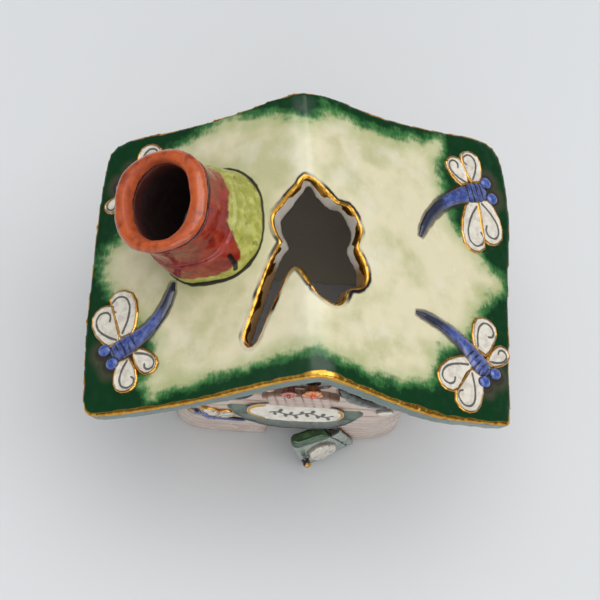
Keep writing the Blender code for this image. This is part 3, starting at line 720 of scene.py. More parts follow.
def chimney_glaze():
    """Brick-red body with painted pink highlights, mossy green low on the right, and painted shade inside,
    darker deeper down.
    """
    shade = colours()
    g = Glaze("chimney_glaze", coat=0.35)
    blotch = g.mottle((0.6, 9.0, 5.0), (0.4, 2.6, 5.0, EVEN, 3.0))
    tint = g.mix(g.ramp(blotch, 0.36, 0.62), srgb(108, 24, 24), shade.brick)
    tint = g.patches(tint, srgb(176, 72, 48), 0.55, 0.74, 0.6, 6.0, 5.0, (1.0, 1.0, 0.5), 6.0)
    # Pink patches: painted highlights on the glaze.
    tint = g.patches(tint, shade.highlight_blush, 0.7, 0.82, 0.35, 2.4, shift=13.0)
    green = g.patches(shade.moss, srgb(184, 184, 102), 0.4, 0.66, 1.0, 3.4, 5.0, shift=8.0)
    green = g.patches(green, srgb(92, 96, 40), 0.62, 0.72, 0.7, 3.0, 4.0, (1.0, 0.5, 1.0), 17.0)
    tint = g.mix(g.ramp(g.mark("moss", 4.0, 3.4, 5.0), -0.5, 0.8), tint, green)
    tint = g.line(tint, shade.ink, g.mark("collar", 6.0, 0.6, 9.0), 0.3, 1.0, 0.92)
    tint = g.line(tint, shade.ink, g.mark("stroke", 2.0, 0.4, 10.0), 0.6, 0.9, 0.97)
    tint = g.line(tint, shade.ink, g.mark("low", 5.0, 0.9, 4.0), 0.3, 1.1, 0.9)
    # Painted shade inside the bore: faces turned inwards and parts hidden in the joint go dark, darker the
    # deeper they lie.
    bore_shade = g.ramp(g.stored("inner"), 0.1, 0.6)
    dark = g.mix(g.ramp(g.stored("depth"), 2.0, 9.0), srgb(70, 24, 18), shade.bore_shade)
    g.plug(g.shader.inputs["Coat Weight"], g.ramp(bore_shade, 0.0, 1.0, 0.35, 0.0))
    return g.finish(g.mix(bore_shade, tint, dark), dull=bore_shade, lumps=0.2)


def rim_glaze():
    """Terracotta with pale patches of painted highlight, and a dark throat of painted shade."""
    shade = colours()
    g = Glaze("rim_glaze", coat=0.45)
    blotch = g.mottle((0.55, 7.0, 5.0), (0.45, 1.8, 5.0, EVEN, 3.0))
    tint = g.mix(g.ramp(blotch, 0.38, 0.6), srgb(172, 76, 40), shade.terracotta)
    # Pink patches: painted highlights on the glaze.
    tint = g.patches(tint, shade.highlight_blush, 0.6, 0.78, 0.5, 5.0, 5.0, shift=6.0)
    tint = g.patches(tint, srgb(128, 48, 22), 0.5, 0.68, 0.7, 4.0, 4.0, (1.0, 1.0, 0.4), 19.0)
    # The throat in painted shade, darker where it lies deeper.
    throat = g.ramp(g.stored("inner"), 0.25, 0.6)
    deep = g.ramp(g.stored("depth"), 2.6, 3.6)
    dark = g.mix(deep, srgb(150, 66, 34), shade.bore_shade)
    tint = g.mix(g.times(throat, g.add(g.times(deep, 0.6), 0.4)), tint, dark)
    g.plug(g.shader.inputs["Coat Weight"], g.ramp(throat, 0.0, 1.0, 0.45, 0.0))
    tint = g.line(tint, shade.ink, g.mark("collar", 6.0, 0.5, 9.0), 0.1, 0.7, 0.9)
    return g.finish(tint, dull=throat, lumps=0.26)


def door_glaze(name):
    """Sage on the upright faces, glossy bottle green on top, a black line between them, and painted shade at
    the foot.
    """
    shade = colours()
    g = Glaze(name, coat=0.8)
    sage = g.patches(shade.sage, srgb(132, 150, 132), 0.4, 0.64, 1.0, 6.0, 5.0)
    bottle = g.patches(shade.bottle, srgb(58, 98, 56), 0.42, 0.66, 1.0, 4.0, 5.0, (1.0, 2.0, 1.0), 4.0)
    bottle = g.patches(bottle, srgb(104, 104, 52), 0.6, 0.72, 0.6, 2.0, shift=7.0)
    height = g.axis("Z")
    tint = g.mix(g.ramp(g.wobble(height, 5.0, 1.0, 3.0), 31.0, 31.7), sage, bottle)
    line = g.math("ABSOLUTE", g.add(g.wobble(height, 6.0, 0.6, 5.0), -31.1))
    tint = g.line(tint, shade.ink, line, 0.3, 0.75, 0.95)
    # Painted shade: the faces go dark towards the door's foot, where it meets the floor.
    tint = g.line(tint, srgb(30, 34, 32), g.wobble(height, 3.0, 3.0, 6.0), 0.8, 3.4, 0.85)
    return g.finish(tint, lumps=0.18)


def simple_glaze(name, coat, lumps, ground, patches, lines=(), roughness=0.2):
    """A ground colour with patches, then lines: each has a mark, its wobble, a colour and its fade."""
    g = Glaze(name, roughness, coat)
    tint = ground
    for values in patches:
        tint = g.patches(tint, *values)
    for mark, wobble, shade, fade in lines:
        tint = g.line(tint, shade, g.mark(mark, *wobble), *fade)
    return g.finish(tint, lumps=lumps)


def ivory_glaze(name, strokes=()):
    """White glaze with a dark outline, and strokes in its middle where they are given."""
    patches = ((srgb(208, 196, 176), 0.4, 0.66, 1.0, 3.0), *strokes)
    outline = ("edge", (2.4, 0.5, 2.0), srgb(70, 60, 52), (0.2, 0.7, 0.75))
    return simple_glaze(name, 0.7, 0.08, colours().ivory, patches, (outline,))


def oval_glaze():
    """The door's white window, with faint brown strokes."""
    strokes = (srgb(140, 112, 80), 0.55, 0.68, 0.8, 1.8, 4.0, (1.0, 1.0, 0.4), 4.0)
    return ivory_glaze("door_oval_glaze", (strokes,))


def ochre_glaze():
    """Tan clay with brown edges."""
    outline = ("edge", (3.0, 0.6, 3.0), colours().umber, (0.2, 0.9, 0.8))
    patches = ((srgb(164, 126, 98), 0.4, 0.64, 1.0, 4.0, 5.0),)
    return simple_glaze("ochre_glaze", 0.5, 0.14, srgb(190, 158, 128), patches, (outline,))


def shade_pane_glaze():
    """A dark sheet standing in for the shade inside a window opening, with a paler painted reflection washed
    in.
    """
    patches = ((srgb(72, 66, 62), 0.46, 0.66, 1.0, 3.0),)
    return simple_glaze("shade_pane_glaze", 0.9, 0.06, srgb(34, 30, 30), patches, roughness=0.1)


def eye_glaze():
    """Bright indigo beads with a dark ring at their foot."""
    ring = ("edge", (1.2, 0.3, 3.0), srgb(28, 32, 60), (0.15, 0.6, 0.85))
    patches = ((srgb(86, 108, 176), 0.4, 0.64, 1.0, 1.4, 3.0),)
    return simple_glaze("eye_glaze", 0.9, 0.06, srgb(52, 74, 146), patches, (ring,), 0.12)


def plaque_face_glaze():
    """White ground with a painted trailing vine and a gold arc at each end."""
    shade = colours()
    g = Glaze("plaque_face_glaze", coat=0.7)
    tint = g.patches(shade.ivory, srgb(206, 200, 188), 0.4, 0.66, 1.0, 3.0)
    tint = g.line(tint, shade.ink, g.mark("vine", 2.0, 0.24, 2.0), 0.22, 0.42, 0.9)
    edge = g.stored("edge")
    ends = g.ramp(g.math("ABSOLUTE", g.add(g.axis("X"), -0.4)), 12.2, 13.0)
    gold = g.times(g.ramp(edge, 0.3, 0.55), g.ramp(edge, 1.2, 1.5, 1.0, 0.0), ends)
    return g.finish(g.line(tint, shade.ink, edge, 0.15, 0.45, 0.85), gold, lumps=0.08)


def plaque_glaze():
    """Grey-green frame, dark towards its outline and its foot."""
    g = Glaze("plaque_glaze", coat=0.7)
    tint = g.patches(srgb(92, 108, 92), colours().bottle, 0.42, 0.64, 1.0, 5.0, 5.0)
    tint = g.line(tint, srgb(34, 44, 36), g.mark("edge", 4.0, 1.0, 2.0), 0.4, 2.4, 0.8)
    return g.finish(g.line(tint, srgb(30, 34, 30), g.axis("Z"), 54.0, 57.5, 0.7), lumps=0.12)


def blossom_glaze(name, petal, heart):
    """Petals that pale outwards, with brown edges and a warm heart."""
    g = Glaze(name, coat=0.7)
    radius = g.mark("radius", 1.4, 0.16, 3.0)
    tint = g.mix(g.ramp(radius, 0.35, 0.85), heart, petal)
    tint = g.patches(tint, srgb(236, 200, 160), 0.5, 0.7, 0.7, 1.1)
    tint = g.mix(g.ramp(radius, 0.84, 0.96, 0.0, 0.85), tint, srgb(96, 50, 36))
    return g.finish(g.line(tint, srgb(80, 44, 34), g.stored("out"), 0.05, 0.4, 0.8), lumps=0.12)


def bough_glaze():
    """Near-black leaves with a sage middle."""
    g = Glaze("bough_glaze", coat=0.6)
    middle = g.ramp(g.mark("edge", 1.6, 1.2, 3.0), 0.9, 1.9, 0.0, 0.85)
    tint = g.mix(middle, srgb(30, 30, 30), srgb(92, 104, 92))
    return g.finish(g.patches(tint, srgb(22, 24, 24), 0.5, 0.62, 0.8, 1.4, shift=6.0), lumps=0.2)


def knob_glaze():
    """A dark bead with a gold tip."""
    g = Glaze("knob_glaze", coat=0.9)
    tint = g.patches(srgb(26, 26, 26), srgb(58, 58, 54), 0.45, 0.65, 1.0, 1.2, 3.0)
    return g.finish(tint, g.ramp(g.mark("tip", 1.0, 0.5, 2.0), 0.9, 1.3, 1.0, 0.0), lumps=0.06)


def dragonfly_body_glaze():
    """Indigo with ink strokes across it, an ink outline, and a grey tail."""
    shade = colours()
    g = Glaze("dragonfly_body_glaze", coat=0.8)
    tint = g.patches(shade.indigo, srgb(88, 104, 164), 0.4, 0.64, 1.0, 2.0)
    tint = g.patches(tint, srgb(34, 42, 92), 0.56, 0.7, 0.6, 1.2, shift=4.0)
    tint = g.mix(g.ramp(g.mark("along", 2.0, 4.0, 3.0), 23.0, 28.0, 0.0, 0.9), tint, shade.tail_grey)
    stroke = g.ramp(g.mark("stroke", 1.4, 0.35, 5.0), 0.24, 0.5, 1.0, 0.0)
    pressure = g.ramp(g.noise(2.4, 2.0, shift=15.0), 0.36, 0.52, 0.1, 0.95)
    tint = g.mix(g.times(stroke, pressure), tint, srgb(18, 18, 30))
    tint = g.line(tint, srgb(22, 24, 36), g.mark("side", 2.6, 0.5, 6.0), 0.52, 0.9, 0.95)
    return g.finish(tint, lumps=0.14)


def wing_glaze():
    """White with a gold raised edge, an ink hook, and grey brush marks."""
    g = Glaze("wing_glaze", coat=0.7)
    tint = g.patches(colours().ivory, srgb(204, 196, 182), 0.4, 0.66, 1.0, 2.4)
    tint = g.patches(tint, srgb(176, 160, 140), 0.6, 0.74, 0.5, 1.1, shift=4.0)
    tint = g.line(tint, srgb(44, 40, 38), g.mark("curl", 1.6, 0.3, 3.0), 0.24, 0.44, 0.85)
    tint = g.line(tint, srgb(92, 66, 44), g.mark("edge", 2.0, 0.3, 9.0), 0.75, 1.05, 0.55)
    worn = g.ramp(g.noise(3.4, 2.0, shift=11.0), 0.3, 0.42, 0.25, 1.0)
    gold = g.times(g.ramp(g.mark("edge", 2.2, 0.5, 7.0), 0.62, 0.86, 1.0, 0.0), worn)
    return g.finish(tint, gold, lumps=0.08)


def floor_paint():
    """Pale matt studio card."""
    g = Glaze("floor_paint", coat=0.0)
    tint = g.mix(g.noise(300.0, 2.0), colours().floor, srgb(210, 211, 212))
    g.plug(g.shader.inputs["Base Color"], tint)
    g.shader.inputs["Roughness"].default_value = 0.85
    g.shader.inputs["Specular IOR Level"].default_value = 0.2
    return g.material


# ---------------------------------------------------------------- roof


def roof_edges():
    """Samples, in millimetres, along the slab's upper edges: the rim's, and the dragonfly cut's."""
    piece = merged_copy("roof_slab", "roof_edges")
    points = coordinates(piece)
    facing = {}
    for polygon in piece.data.polygons:
        lean = float(np.dot(slope_axes(polygon.center.x)[2], polygon.normal))
        for key in polygon.edge_keys:
            facing.setdefault(key, []).append(lean)
    flue = np.array(sum((Vector(corner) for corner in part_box("chimney_foot")), Vector())) / 2 / MM
    rim, cut = [], []
    for (first, second), leans in facing.items():
        if max(leans) < 0.6 or min(leans) > 0.5:
            continue
        start, end = points[first], points[second]
        count = max(2, int(np.linalg.norm(end - start) / 0.4))
        for share in np.linspace(0.0, 1.0, count):
            place = start + (end - start) * share
            if abs(place[0]) > RIM_FROM[0] or abs(place[1]) > RIM_FROM[1]:
                rim.append(place)
            elif math.hypot(*(place - flue)[:2]) >= FLUE_REACH or place[0] >= flue[0] + FLUE_RIGHT:
                cut.append(place)
    bpy.data.objects.remove(piece)
    return rim, cut


class COTTAGE_OT_roof(Operator):
    """Models and glazes the folded roof slab"""

    bl_idname = "cottage.roof"
    bl_label = "Roof"

    def execute(self, context):
        size = sizes()
        rim, cut = roof_edges()
        roof = modelled("roof_slab", "roof", size.slab_grain, size.edge_passes)
        knead(roof, 18.0, size.slab_wander)
        knead(roof, 4.5, size.slab_wander * 0.22)
        points = coordinates(roof)
        plan = points[:, :2]
        sides = np.sign(points[:, 0])
        out = normals(roof)
        up = out[:, 0] * sides * math.sin(ROOF_PITCH) + out[:, 2] * math.cos(ROOF_PITCH)
        paint(roof, "up", up)
        paint(roof, "rim", cloud_distance(points, rim))
        paint(roof, "cut", cloud_distance(points, cut))
        # Distance from the line where the painted ridge highlight lies.
        paint(roof, "ridge", points[:, 0] + HIGHLIGHT_LEFT + HIGHLIGHT_TURN * points[:, 1])
        edge = segment_distance(plan, PALE_FIELD, closed=True)
        paint(roof, "field", np.where(inside(plan, PALE_FIELD), edge, -edge))
        bright = sum(strength * bell(points[:, 0] - middle, reach) for middle, reach, strength in GOLD_SPOTS)
        paint(roof, "bright", bright * (points[:, 1] < -RIM_FROM[1]))
        reliefs = [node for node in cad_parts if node.startswith(DRAGONFLIES[:4])]
        heads = [node for node in reliefs if "_eye_" in node]
        paint(roof, "relief", cloud_distance(points, node_samples(reliefs)))
        paint(roof, "heads", cloud_distance(points, node_samples(heads)))
        left = slope_axes(-1.0)
        foot = node_points("chimney_foot")
        lower = foot[(foot - foot.mean(axis=0)) @ left[2] < -1.0]
        outline = hull(flat_view(lower, left))
        spots = flat_view(points, left)
        gap = segment_distance(spots, outline, closed=True)
        far = np.where(inside(spots, outline), -gap, gap)
        paint(roof, "foot", np.where(points[:, 0] < 0, far, FAR_OFF))
        finished(roof, roof_glaze(), "roof_glaze", "roof_slab")
        return {"FINISHED"}


# ---------------------------------------------------------------- walls


class COTTAGE_OT_walls(Operator):
    """Models and glazes the wrapped wall slab with its doorway"""

    bl_idname = "cottage.walls"
    bl_label = "Walls"

    def execute(self, context):
        size = sizes()
        walls = modelled("house_walls", "walls", size.slab_grain, size.edge_passes)
        knead(walls, 16.0, size.slab_wander)
        points, out = coordinates(walls), normals(walls)
        height = points[:, 2].copy()
        for column, (swing, reach, start) in enumerate(BOARD_WAVES):
            height += swing * np.sin(points[:, column] / reach + start)
        gap = line_gap(height, size.board)
        outward = points[:, :2] - ROOM_MIDDLE
        outward /= np.maximum(np.linalg.norm(outward, axis=1, keepdims=True), 1e-6)
        facing = (outward * out[:, :2]).sum(axis=1)
        points -= out * (GROOVE_DEPTH * bell(gap, GROOVE_WIDTH) * (facing > 0.3))[:, None]
        points[:, 2] = np.maximum(points[:, 2] * WALL_RISE - WALL_DROP, 0.0)
        move_points(walls, points)
        paint(walls, "boards", gap)
        paint(walls, "inner", np.clip(-facing, 0.0, 1.0))
        at_front = (points[:, 1] < -20) & (facing > -0.2)
        paint(walls, "arch", np.where(at_front, segment_distance(points[:, [0, 2]], DOOR_ARCH), FAR_OFF))
        reliefs = [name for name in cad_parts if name.startswith("wall_")]
        reliefs += ["eave_bough_right", "eave_bough_left", "gable_window", "eave_leaf"]
        paint(walls, "relief", cloud_distance(points, node_samples(reliefs)))
        finished(walls, wall_glaze(), "wall_glaze", "house_walls")
        return {"FINISHED"}


# ---------------------------------------------------------------- chimney


def chimney_places(points):
    """Height above the left slope, and the direction from the chimney's middle, for each point."""
    across, along, out = slope_axes(-1.0)
    foot = node_points("chimney_foot")
    base = (foot @ out).min()
    middle = flat_view(foot, (across, along)).mean(axis=0)
    height = points @ out - base
    lean = np.clip(height / CHIMNEY_HEIGHT, 0.0, 1.0)[:, None]
    flat = flat_view(points, (across, along)) - middle - lean * np.array(CHIMNEY_LEAN)
    return height, flat


class COTTAGE_OT_chimney(Operator):
    """Models and glazes the crooked chimney: its body with the mossy foot, and its rim"""

    bl_idname = "cottage.chimney"
    bl_label = "Chimney"

    def execute(self, context):
        across, along, out = slope_axes(-1.0)
        tube = merged_copy("chimney_tube", "chimney_body")
        foot = merged_copy("chimney_foot", "chimney_collar")
        move_points(foot, coordinates(foot) - out * COLLAR_SINK)
        for part in (tube, foot):
            apply_modifier(part, "DISPLACE", strength=CLAY_SWELL * MM, mid_level=0.0)
        body = joined([tube, foot], "chimney_body")
        mouth = merged_copy("chimney_rim", "chimney_mouth")
        kneads = {body: (8, (10.0, 1.1), (4.0, 0.3)), mouth: (12, (9.0, 0.7), (4.0, 0.14))}
        for piece, (passes, *swells) in kneads.items():
            sponged(piece, 0.5, passes)
            for swell in swells:
                knead(piece, *swell)
            points = coordinates(piece)
            height, flat = chimney_places(points)
            angle = np.arctan2(flat[:, 1], flat[:, 0])
            facing = normals(piece) @ across * np.cos(angle) + normals(piece) @ along * np.sin(angle)
            if piece is mouth:
                hidden = height < CHIMNEY_JOINT + 0.1
                drawn = RIM_DRAWN * np.clip((RIM_SEAM - height) / RIM_STRETCH, 0.0, 1.0)
                points -= out * drawn[:, None]
            else:
                hidden = height > CHIMNEY_JOINT - 0.4
                around = np.stack([angle * CHIMNEY_RADIUS, height], axis=1)
                for place, reach, depth in DENTS:
                    gap = np.linalg.norm((around - place) / reach, axis=1)
                    points -= normals(piece) * (depth * bell(gap, 1.0) * (facing > 0.2))[:, None]
                paint(piece, "stroke", segment_distance(around, INK_STROKE) + FAR_OFF * (facing < 0.2))
            move_points(piece, points)
            # inner: faces turned into the bore and parts hidden in the joint, where the glazes paint shade.
            paint(piece, "inner", np.maximum(np.clip(-facing, 0.0, 1.0), hidden & (facing < 0.5)))
            paint(piece, "depth", CHIMNEY_HEIGHT - height)
            turn = np.clip((np.cos(angle - MOSS_CREST) - 0.1) / 0.45, 0.0, 1.0)
            paint(piece, "moss", MOSS_FOOT + MOSS_CLIMB * turn - height)
            paint(piece, "collar", np.abs(height - CHIMNEY_JOINT))
            paint(piece, "low", height + 0.2)
        finished(body, chimney_glaze(), "chimney_glaze", "chimney_tube", "chimney_foot")
        finished(mouth, rim_glaze(), "rim_glaze", "chimney_rim")
        return {"FINISHED"}


# ---------------------------------------------------------------- door


class COTTAGE_OT_door(Operator):
    """Models and glazes the door that stands ajar, with its window and knob"""

    bl_idname = "cottage.door"
    bl_label = "Door"

    def execute(self, context):
        size = sizes()
        axes = door_axes()
        pieces = (("door_slab", "door", 14, 8.0), ("door_fillet", "door_joint", 8, 5.0))
        for node, name, passes, swell in pieces:
            piece = modelled(node, name, 0.4, passes)
            knead(piece, swell, 0.5)
            finished(piece, door_glaze(f"{name}_glaze"), "door_glaze", node)
        window = modelled("door_window", "door_oval", size.relief_grain, 5)
        pressed(window, axes, size.sink)
        paint_edge(window, "door_window", axes)
        raise_edge(window, 0.9, 0.5, 0.28, axes)
        finished(window, oval_glaze(), "ivory_glaze", "door_window")
        knob = modelled("door_knob", "door_handle", 0.2, 6)
        points = coordinates(knob)
        paint(knob, "tip", (points @ axes[2]).max() - points @ axes[2])
        finished(knob, knob_glaze(), "bark_glaze", "door_knob")
        return {"FINISHED"}


# ---------------------------------------------------------------- reliefs on the front


def raise_edge(piece, at, width, height, axes):
    """Raises a rounded rib a little way in from a relief's outline."""
    edge = np.empty(len(piece.data.vertices), np.float32)
    piece.data.attributes["edge"].data.foreach_get("value", edge)
    rise = height * bell(edge - at, width) * (normals(piece) @ axes[2] > 0.2)
    move_points(piece, coordinates(piece) + axes[2] * rise[:, None])


def relief(node, name, passes, sink):
    """A front relief taken up in fine clay, pressed in, with its outline distance stored."""
    axes = wall_axes()
    piece = modelled(node, name, sizes().relief_grain, passes)
    knead(piece, 3.0, 0.25)
    pressed(piece, axes, sink)
    paint_edge(piece, node, axes)
    return piece


def leaned(piece, foot_lean):
    """Tips a plaque back at its top and out at its foot, so that it faces a little upwards."""
    points = coordinates(piece)
    above = points[:, 2] - PLAQUE_HINGE
    points[:, 1] += np.where(above > 0, PLAQUE_LEAN, foot_lean) * above
    move_points(piece, points)


def paint_vine(face):
    """Stores the distance from the trailing vine painted on the plaque, with its leaves turned by turns."""
    along = np.linspace(*VINE_ENDS, 60)
    vine = np.stack([along, VINE_HEIGHT + VINE_SWING * np.sin(along * VINE_TURNS)], axis=1)
    spots = coordinates(face)[:, [0, 2]]
    marks = segment_distance(spots, vine)
    for index, root in enumerate(vine[3:-2:5]):
        leaf = np.array(VINE_LEAF) * (1.0, 1.0 if index % 2 else -1.0)
        marks = np.minimum(marks, 0.5 * segment_distance(spots, (root + leaf * 0.6, root + leaf)))
    paint(face, "vine", marks)


def petals(node, name, count, turn):
    """A blossom of cupped petals round a bead, in the place of a CAD node."""
    low, high = (Vector(corner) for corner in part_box(node))
    centre = (low + high) / 2
    radius = min(high.x - low.x, high.z - low.z) / 2
    face = low.y
    sphere, disc = bpy.ops.mesh.primitive_uv_sphere_add, bpy.ops.mesh.primitive_cylinder_add
    # Each shape: its operator, its middle, how far behind the blossom's face it lies, and its values.
    shapes = [
        (sphere, centre, 1.1, {"segments": 16, "ring_count": 10, "radius": radius * 0.26}),
        (disc, centre, 3.0, {
            "vertices": 24, "radius": radius * 0.72, "depth": 2.2 * MM, "rotation": (math.pi / 2, 0.0, 0.0),
        }),
    ]
    for index in range(count):
        angle = turn + 2 * math.pi * index / count
        place = centre + Vector((math.cos(angle), 0.0, math.sin(angle))) * radius * 0.52
        shapes.append((sphere, place, 1.9, {
            "segments": 20, "ring_count": 12, "radius": radius * 0.5,
            "rotation": (0.0, -angle, 0.0), "scale": (1.0, 0.42, 0.78),
        }))
    parts = []
    for primitive, place, behind, values in shapes:
        bpy.ops.object.select_all(action="DESELECT")
        primitive(location=(place.x, face + behind * MM, place.z), **values)
        parts.append(bpy.context.object)
    bloom = joined(parts, name)
    select_only(bloom)
    bpy.ops.object.transform_apply(location=True, rotation=True, scale=True)
    sponged(bloom, 0.2, 2)
    away = coordinates(bloom)[:, [0, 2]] - np.array([centre.x, centre.z]) / MM
    paint(bloom, "radius", np.linalg.norm(away, axis=1) / (radius / MM))
    paint(bloom, "out", -normals(bloom)[:, 1])
    return bloom


class COTTAGE_OT_reliefs(Operator):
    """Models and glazes the plaque, the planter, the blossoms and the boughs on the front"""

    bl_idname = "cottage.reliefs"
    bl_label = "Front reliefs"

    def execute(self, context):
        sink = sizes().sink
        for node, name, passes, depth, glaze, slot in (
            ("lintel", "door_lintel", 4, sink, ochre_glaze, "ochre_glaze"),
            ("name_plaque", "plaque_frame", 4, sink, plaque_glaze, "sage_glaze"),
            ("plaque_face", "plaque_ground", 2, 0.5, plaque_face_glaze, "ivory_glaze"),
            ("planter", "window_box", 4, sink, planter_glaze, "wall_glaze"),
            # The gable window's dark sheet is painted shade: it stands where an opening would lie in shade.
            ("gable_window", "gable_shade_pane", 4, sink, shade_pane_glaze, "bark_glaze"),
            ("blossom_leaf", "small_leaf", 2, sink, ochre_glaze, "ochre_glaze"),
            ("eave_bough_right", "bough_right", 2, sink, bough_glaze, "bark_glaze"),
            ("eave_bough_left", "bough_left", 2, sink, bough_glaze, "bark_glaze"),
            ("eave_leaf", "pale_leaf", 2, sink, lambda: ivory_glaze("pale_leaf_glaze"), "ivory_glaze"),
        ):
            piece = relief(node, name, passes, depth)
            if node == "name_plaque":
                leaned(piece, PLAQUE_FOOT_LEAN)
            elif node == "plaque_face":
                leaned(piece, PLAQUE_LEAN)
                paint_vine(piece)
            elif node == "planter":
                points = coordinates(piece)
                paint(piece, "boards", line_gap(points[:, 0] + PLANTER_LEAN * points[:, 2], PLANTER_BOARD))
            finished(piece, glaze(), slot, node)
        shade = colours()
        for name, turn, glaze, petal, heart in (
            ("pink", 0.3, "rose_glaze", shade.rose, srgb(150, 40, 40)),
            ("orange", 0.9, "tangerine_glaze", shade.tangerine, srgb(206, 72, 24)),
        ):
            bloom = petals(f"blossom_{name}", f"{name}_blossom", 5, turn)
            finished(bloom, blossom_glaze(glaze, petal, heart), f"{name}_glaze", f"blossom_{name}")
        return {"FINISHED"}


# ---------------------------------------------------------------- dragonflies


def wing_curl(piece, node, root, axes, flip):
    """Stores the distance from the hook painted on a wing."""
    outline = hull(flat_view(node_points(node), axes))
    far = outline[np.argmax(np.linalg.norm(outline - root, axis=1))]
    near = outline[np.argmin(np.linalg.norm(outline - root, axis=1))]
    reach = far - near
    long = np.linalg.norm(reach)
    ahead = reach / long
    beside = np.array([-ahead[1], ahead[0]]) * flip
    wide = np.abs((outline - near) @ beside).max()
    curl = curve_through(WING_CURL)
    line = near + ahead * curl[:, :1] * long + beside * curl[:, 1:] * wide
    paint(piece, "curl", segment_distance(flat_view(coordinates(piece), axes), line))


def tail_axis(flat, along):
    """For each point of a body, the middle of the points as far from the head as it is, to a millimetre."""
    bins = np.round(along).astype(int)
    counts = np.bincount(bins)
    kept = np.flatnonzero(counts)
    middles = (np.bincount(bins, column)[kept] / counts[kept] for column in flat.T)
    return np.stack([np.interp(along, kept, middle) for middle in middles], axis=1)


def spread_wing(piece, thorax, axes):
    """Widens a wing in its plane and runs its root in under the thorax, as soft clay is pressed on."""
    points = coordinates(piece)
    flat = flat_view(points, axes)
    middle = (flat.min(axis=0) + flat.max(axis=0)) / 2
    ahead = (middle - thorax) / np.linalg.norm(middle - thorax)
    beside = np.array([-ahead[1], ahead[0]])
    along, aside = (flat - middle) @ ahead, (flat - middle) @ beside
    shift_along = np.where(along < 0, along * WING_ROOT_STRETCH, along * WING_TIP_STRETCH)
    grown = np.outer(shift_along, ahead) + np.outer(aside * WING_WIDTH_STRETCH, beside)
    move_points(piece, points + lifted(grown, axes))


class COTTAGE_OT_dragonflies(Operator):
    """Models and glazes the five dragonflies: bodies, eyes and wings"""

    bl_idname = "cottage.dragonflies"
    bl_label = "Dragonflies"

    def execute(self, context):
        blue, bead, white = dragonfly_body_glaze(), eye_glaze(), wing_glaze()
        for name in DRAGONFLIES:
            middle = node_points(f"{name}_body").mean(axis=0)
            axes = wall_axes() if name == "wall" else slope_axes(middle[0])
            eyes = np.vstack([node_points(f"{name}_eye_{side}") for side in SIDES])
            head = flat_view(eyes.mean(axis=0)[None], axes)[0]
            back = flat_view(middle[None], axes)[0] - head
            self.body(name, blue, axes, head)
            self.eyes(name, bead, axes, back / np.linalg.norm(back))
            self.wings(name, white, axes, head + back * 0.5)
        return {"FINISHED"}

    def body(self, name, glaze, axes, head):
        """The grooved body, which narrows to its tail."""
        size = sizes()
        body = modelled(f"{name}_body", f"{name}_abdomen", size.relief_grain, 10)
        pressed(body, axes, size.sink)
        points = coordinates(body)
        flat = flat_view(points, axes)
        along = np.linalg.norm(flat - head, axis=1)
        gap = line_gap(along, size.segment)
        facing = normals(body) @ axes[2]
        tail = np.clip((along - along.max() + TAIL_TAPER) / TAIL_TAPER, 0.0, 1.0)
        points += lifted((tail_axis(flat, along) - flat) * (TAIL_PINCH * tail**2)[:, None], axes)
        groove = SEGMENT_DEPTH * bell(gap, SEGMENT_WIDTH) * (facing > 0.1) * (along < GROOVES_TO)
        points -= axes[2] * groove[:, None]
        move_points(body, points)
        paint(body, "along", along)
        first, last = STROKES_BETWEEN
        paint(body, "stroke", np.where((along > first) & (along < last), gap, OFF_STROKES))
        paint(body, "side", np.clip(facing - 0.1, 0.0, 1.0))
        finished(body, glaze, "blue_glaze", f"{name}_body")

    def eyes(self, name, glaze, axes, toward):
        """Both eyes, as one piece, set back against the thorax."""
        nodes = [f"{name}_eye_{side}" for side in SIDES]
        beads = []
        for node in nodes:
            eye = modelled(node, node, 0.22, 4)
            pressed(eye, axes, sizes().sink * 0.6)
            paint_edge(eye, node, axes)
            move_points(eye, coordinates(eye) + lifted(toward[None] * EYE_SHIFT, axes))
            beads.append(eye)
        finished(joined(beads, f"{name}_eyes"), glaze, "blue_glaze", *nodes)

    def wings(self, name, glaze, axes, thorax):
        """The four wings, as one piece, with raised edges and painted hooks."""
        nodes = [f"{name}_wing_{wing}" for wing in WING_NAMES]
        wings = []
        for node, flip in zip(nodes, (1, -1, -1, 1)):
            piece = modelled(node, node, sizes().relief_grain, 7)
            pressed(piece, axes, sizes().sink)
            paint_edge(piece, node, axes)
            wing_curl(piece, node, thorax, axes, flip)
            raise_edge(piece, 0.5, 0.34, 0.35, axes)
            spread_wing(piece, thorax, axes)
            wings.append(piece)
        finished(joined(wings, f"{name}_wings"), glaze, "wing_glaze", *nodes)


# ---------------------------------------------------------------- stage


def area_light(name, place, size, power, tint):
    """A soft rectangular light that aims at the cottage."""
    data = bpy.data.lights.new(name, "AREA")
    data.shape = "RECTANGLE"
    data.size, data.size_y = size
    data.energy = power
    data.color = tint
    lamp = bpy.data.objects.new(name, data)
    bpy.context.scene.collection.objects.link(lamp)
    lamp.location = place
    lamp.rotation_euler = (Vector(LIGHT_AIM) - Vector(place)).to_track_quat("-Z", "Y").to_euler()


def studio_world():
    """A pale tent, brighter overhead and at the skyline than at the sides."""
    world = bpy.data.worlds.new("studio")
    world.use_nodes = True
    nodes, links = world.node_tree.nodes, world.node_tree.links
    place = nodes.new("ShaderNodeTexCoord")
    parts = nodes.new("ShaderNodeSeparateXYZ")
    total = nodes.new("ShaderNodeMath")
    links.new(place.outputs["Generated"], parts.inputs[0])
    for index, band in enumerate((TENT_CROWN, TENT_SKYLINE)):
        height = nodes.new("ShaderNodeMapRange")
        height.interpolation_type = "SMOOTHSTEP"
        for socket, value in zip(("From Min", "From Max", "To Min", "To Max"), band):
            height.inputs[socket].default_value = value
        links.new(parts.outputs["Z"], height.inputs["Value"])
        links.new(height.outputs["Result"], total.inputs[index])
    nodes["Background"].inputs["Color"].default_value = TENT_TINT
    links.new(total.outputs[0], nodes["Background"].inputs["Strength"])
    return world


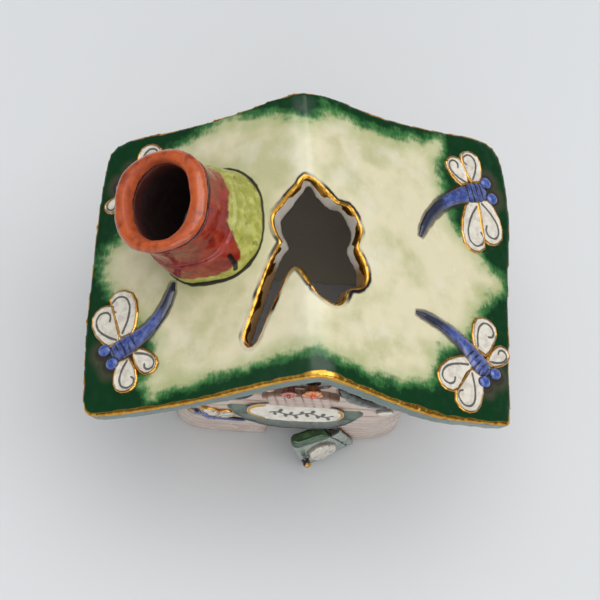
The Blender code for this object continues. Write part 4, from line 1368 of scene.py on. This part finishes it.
class COTTAGE_OT_stage(Operator):
    """Sets the floor, the tent, the soft lights and the camera"""

    bl_idname = "cottage.stage"
    bl_label = "Stage"

    def execute(self, context):
        scene = context.scene
        bpy.ops.object.select_all(action="DESELECT")
        bpy.ops.mesh.primitive_plane_add(size=sizes().floor * MM, location=(0.0, 0.0, -FLOOR_DROP))
        floor = context.object
        floor.name = "studio_floor"
        floor.data.materials.append(floor_paint())

        scene.world = studio_world()
        for name, values in LIGHTS.items():
            area_light(name, *values)
        scene.view_settings.view_transform = "Standard"

        data = bpy.data.cameras.new("camera")
        data.lens = LENS
        data.sensor_width = FILM
        scene.camera = bpy.data.objects.new("camera", data)
        scene.collection.objects.link(scene.camera)
        turn = Matrix(CAMERA_AXES).transposed()
        scene.camera.matrix_world = Matrix.Translation(CAMERA_PLACE) @ turn.to_4x4()
        return {"FINISHED"}


# ---------------------------------------------------------------- panel and registration

OPERATORS = (
    COTTAGE_OT_stage,
    COTTAGE_OT_roof,
    COTTAGE_OT_walls,
    COTTAGE_OT_chimney,
    COTTAGE_OT_door,
    COTTAGE_OT_reliefs,
    COTTAGE_OT_dragonflies,
)


class COTTAGE_PT_panel(Panel):
    """Lists the pieces with their sizes and colours"""

    bl_idname = "COTTAGE_PT_panel"
    bl_label = "Ceramic cottage"
    bl_space_type = "VIEW_3D"
    bl_region_type = "UI"
    bl_category = "Cottage"

    def draw(self, context):
        layout = self.layout
        for operator in OPERATORS:
            layout.operator(operator.bl_idname)
        for group in (context.scene.cottage_sizes, context.scene.cottage_colours):
            box = layout.box()
            for name in group.__annotations__:
                box.prop(group, name)


CLASSES = (CottageSizes, CottageColours, *OPERATORS, COTTAGE_PT_panel)


def register():
    for kind in CLASSES:
        bpy.utils.register_class(kind)
    bpy.types.Scene.cottage_sizes = PointerProperty(type=CottageSizes)
    bpy.types.Scene.cottage_colours = PointerProperty(type=CottageColours)


def unregister():
    del bpy.types.Scene.cottage_colours
    del bpy.types.Scene.cottage_sizes
    for kind in reversed(CLASSES):
        bpy.utils.unregister_class(kind)


def main():
    register()
    bpy.ops.cottage.stage()
    bpy.ops.cottage.roof()
    bpy.ops.cottage.walls()
    bpy.ops.cottage.chimney()
    bpy.ops.cottage.door()
    bpy.ops.cottage.reliefs()
    bpy.ops.cottage.dragonflies()
    bpy.context.view_layer.update()


if __name__ == "__main__":
    main()
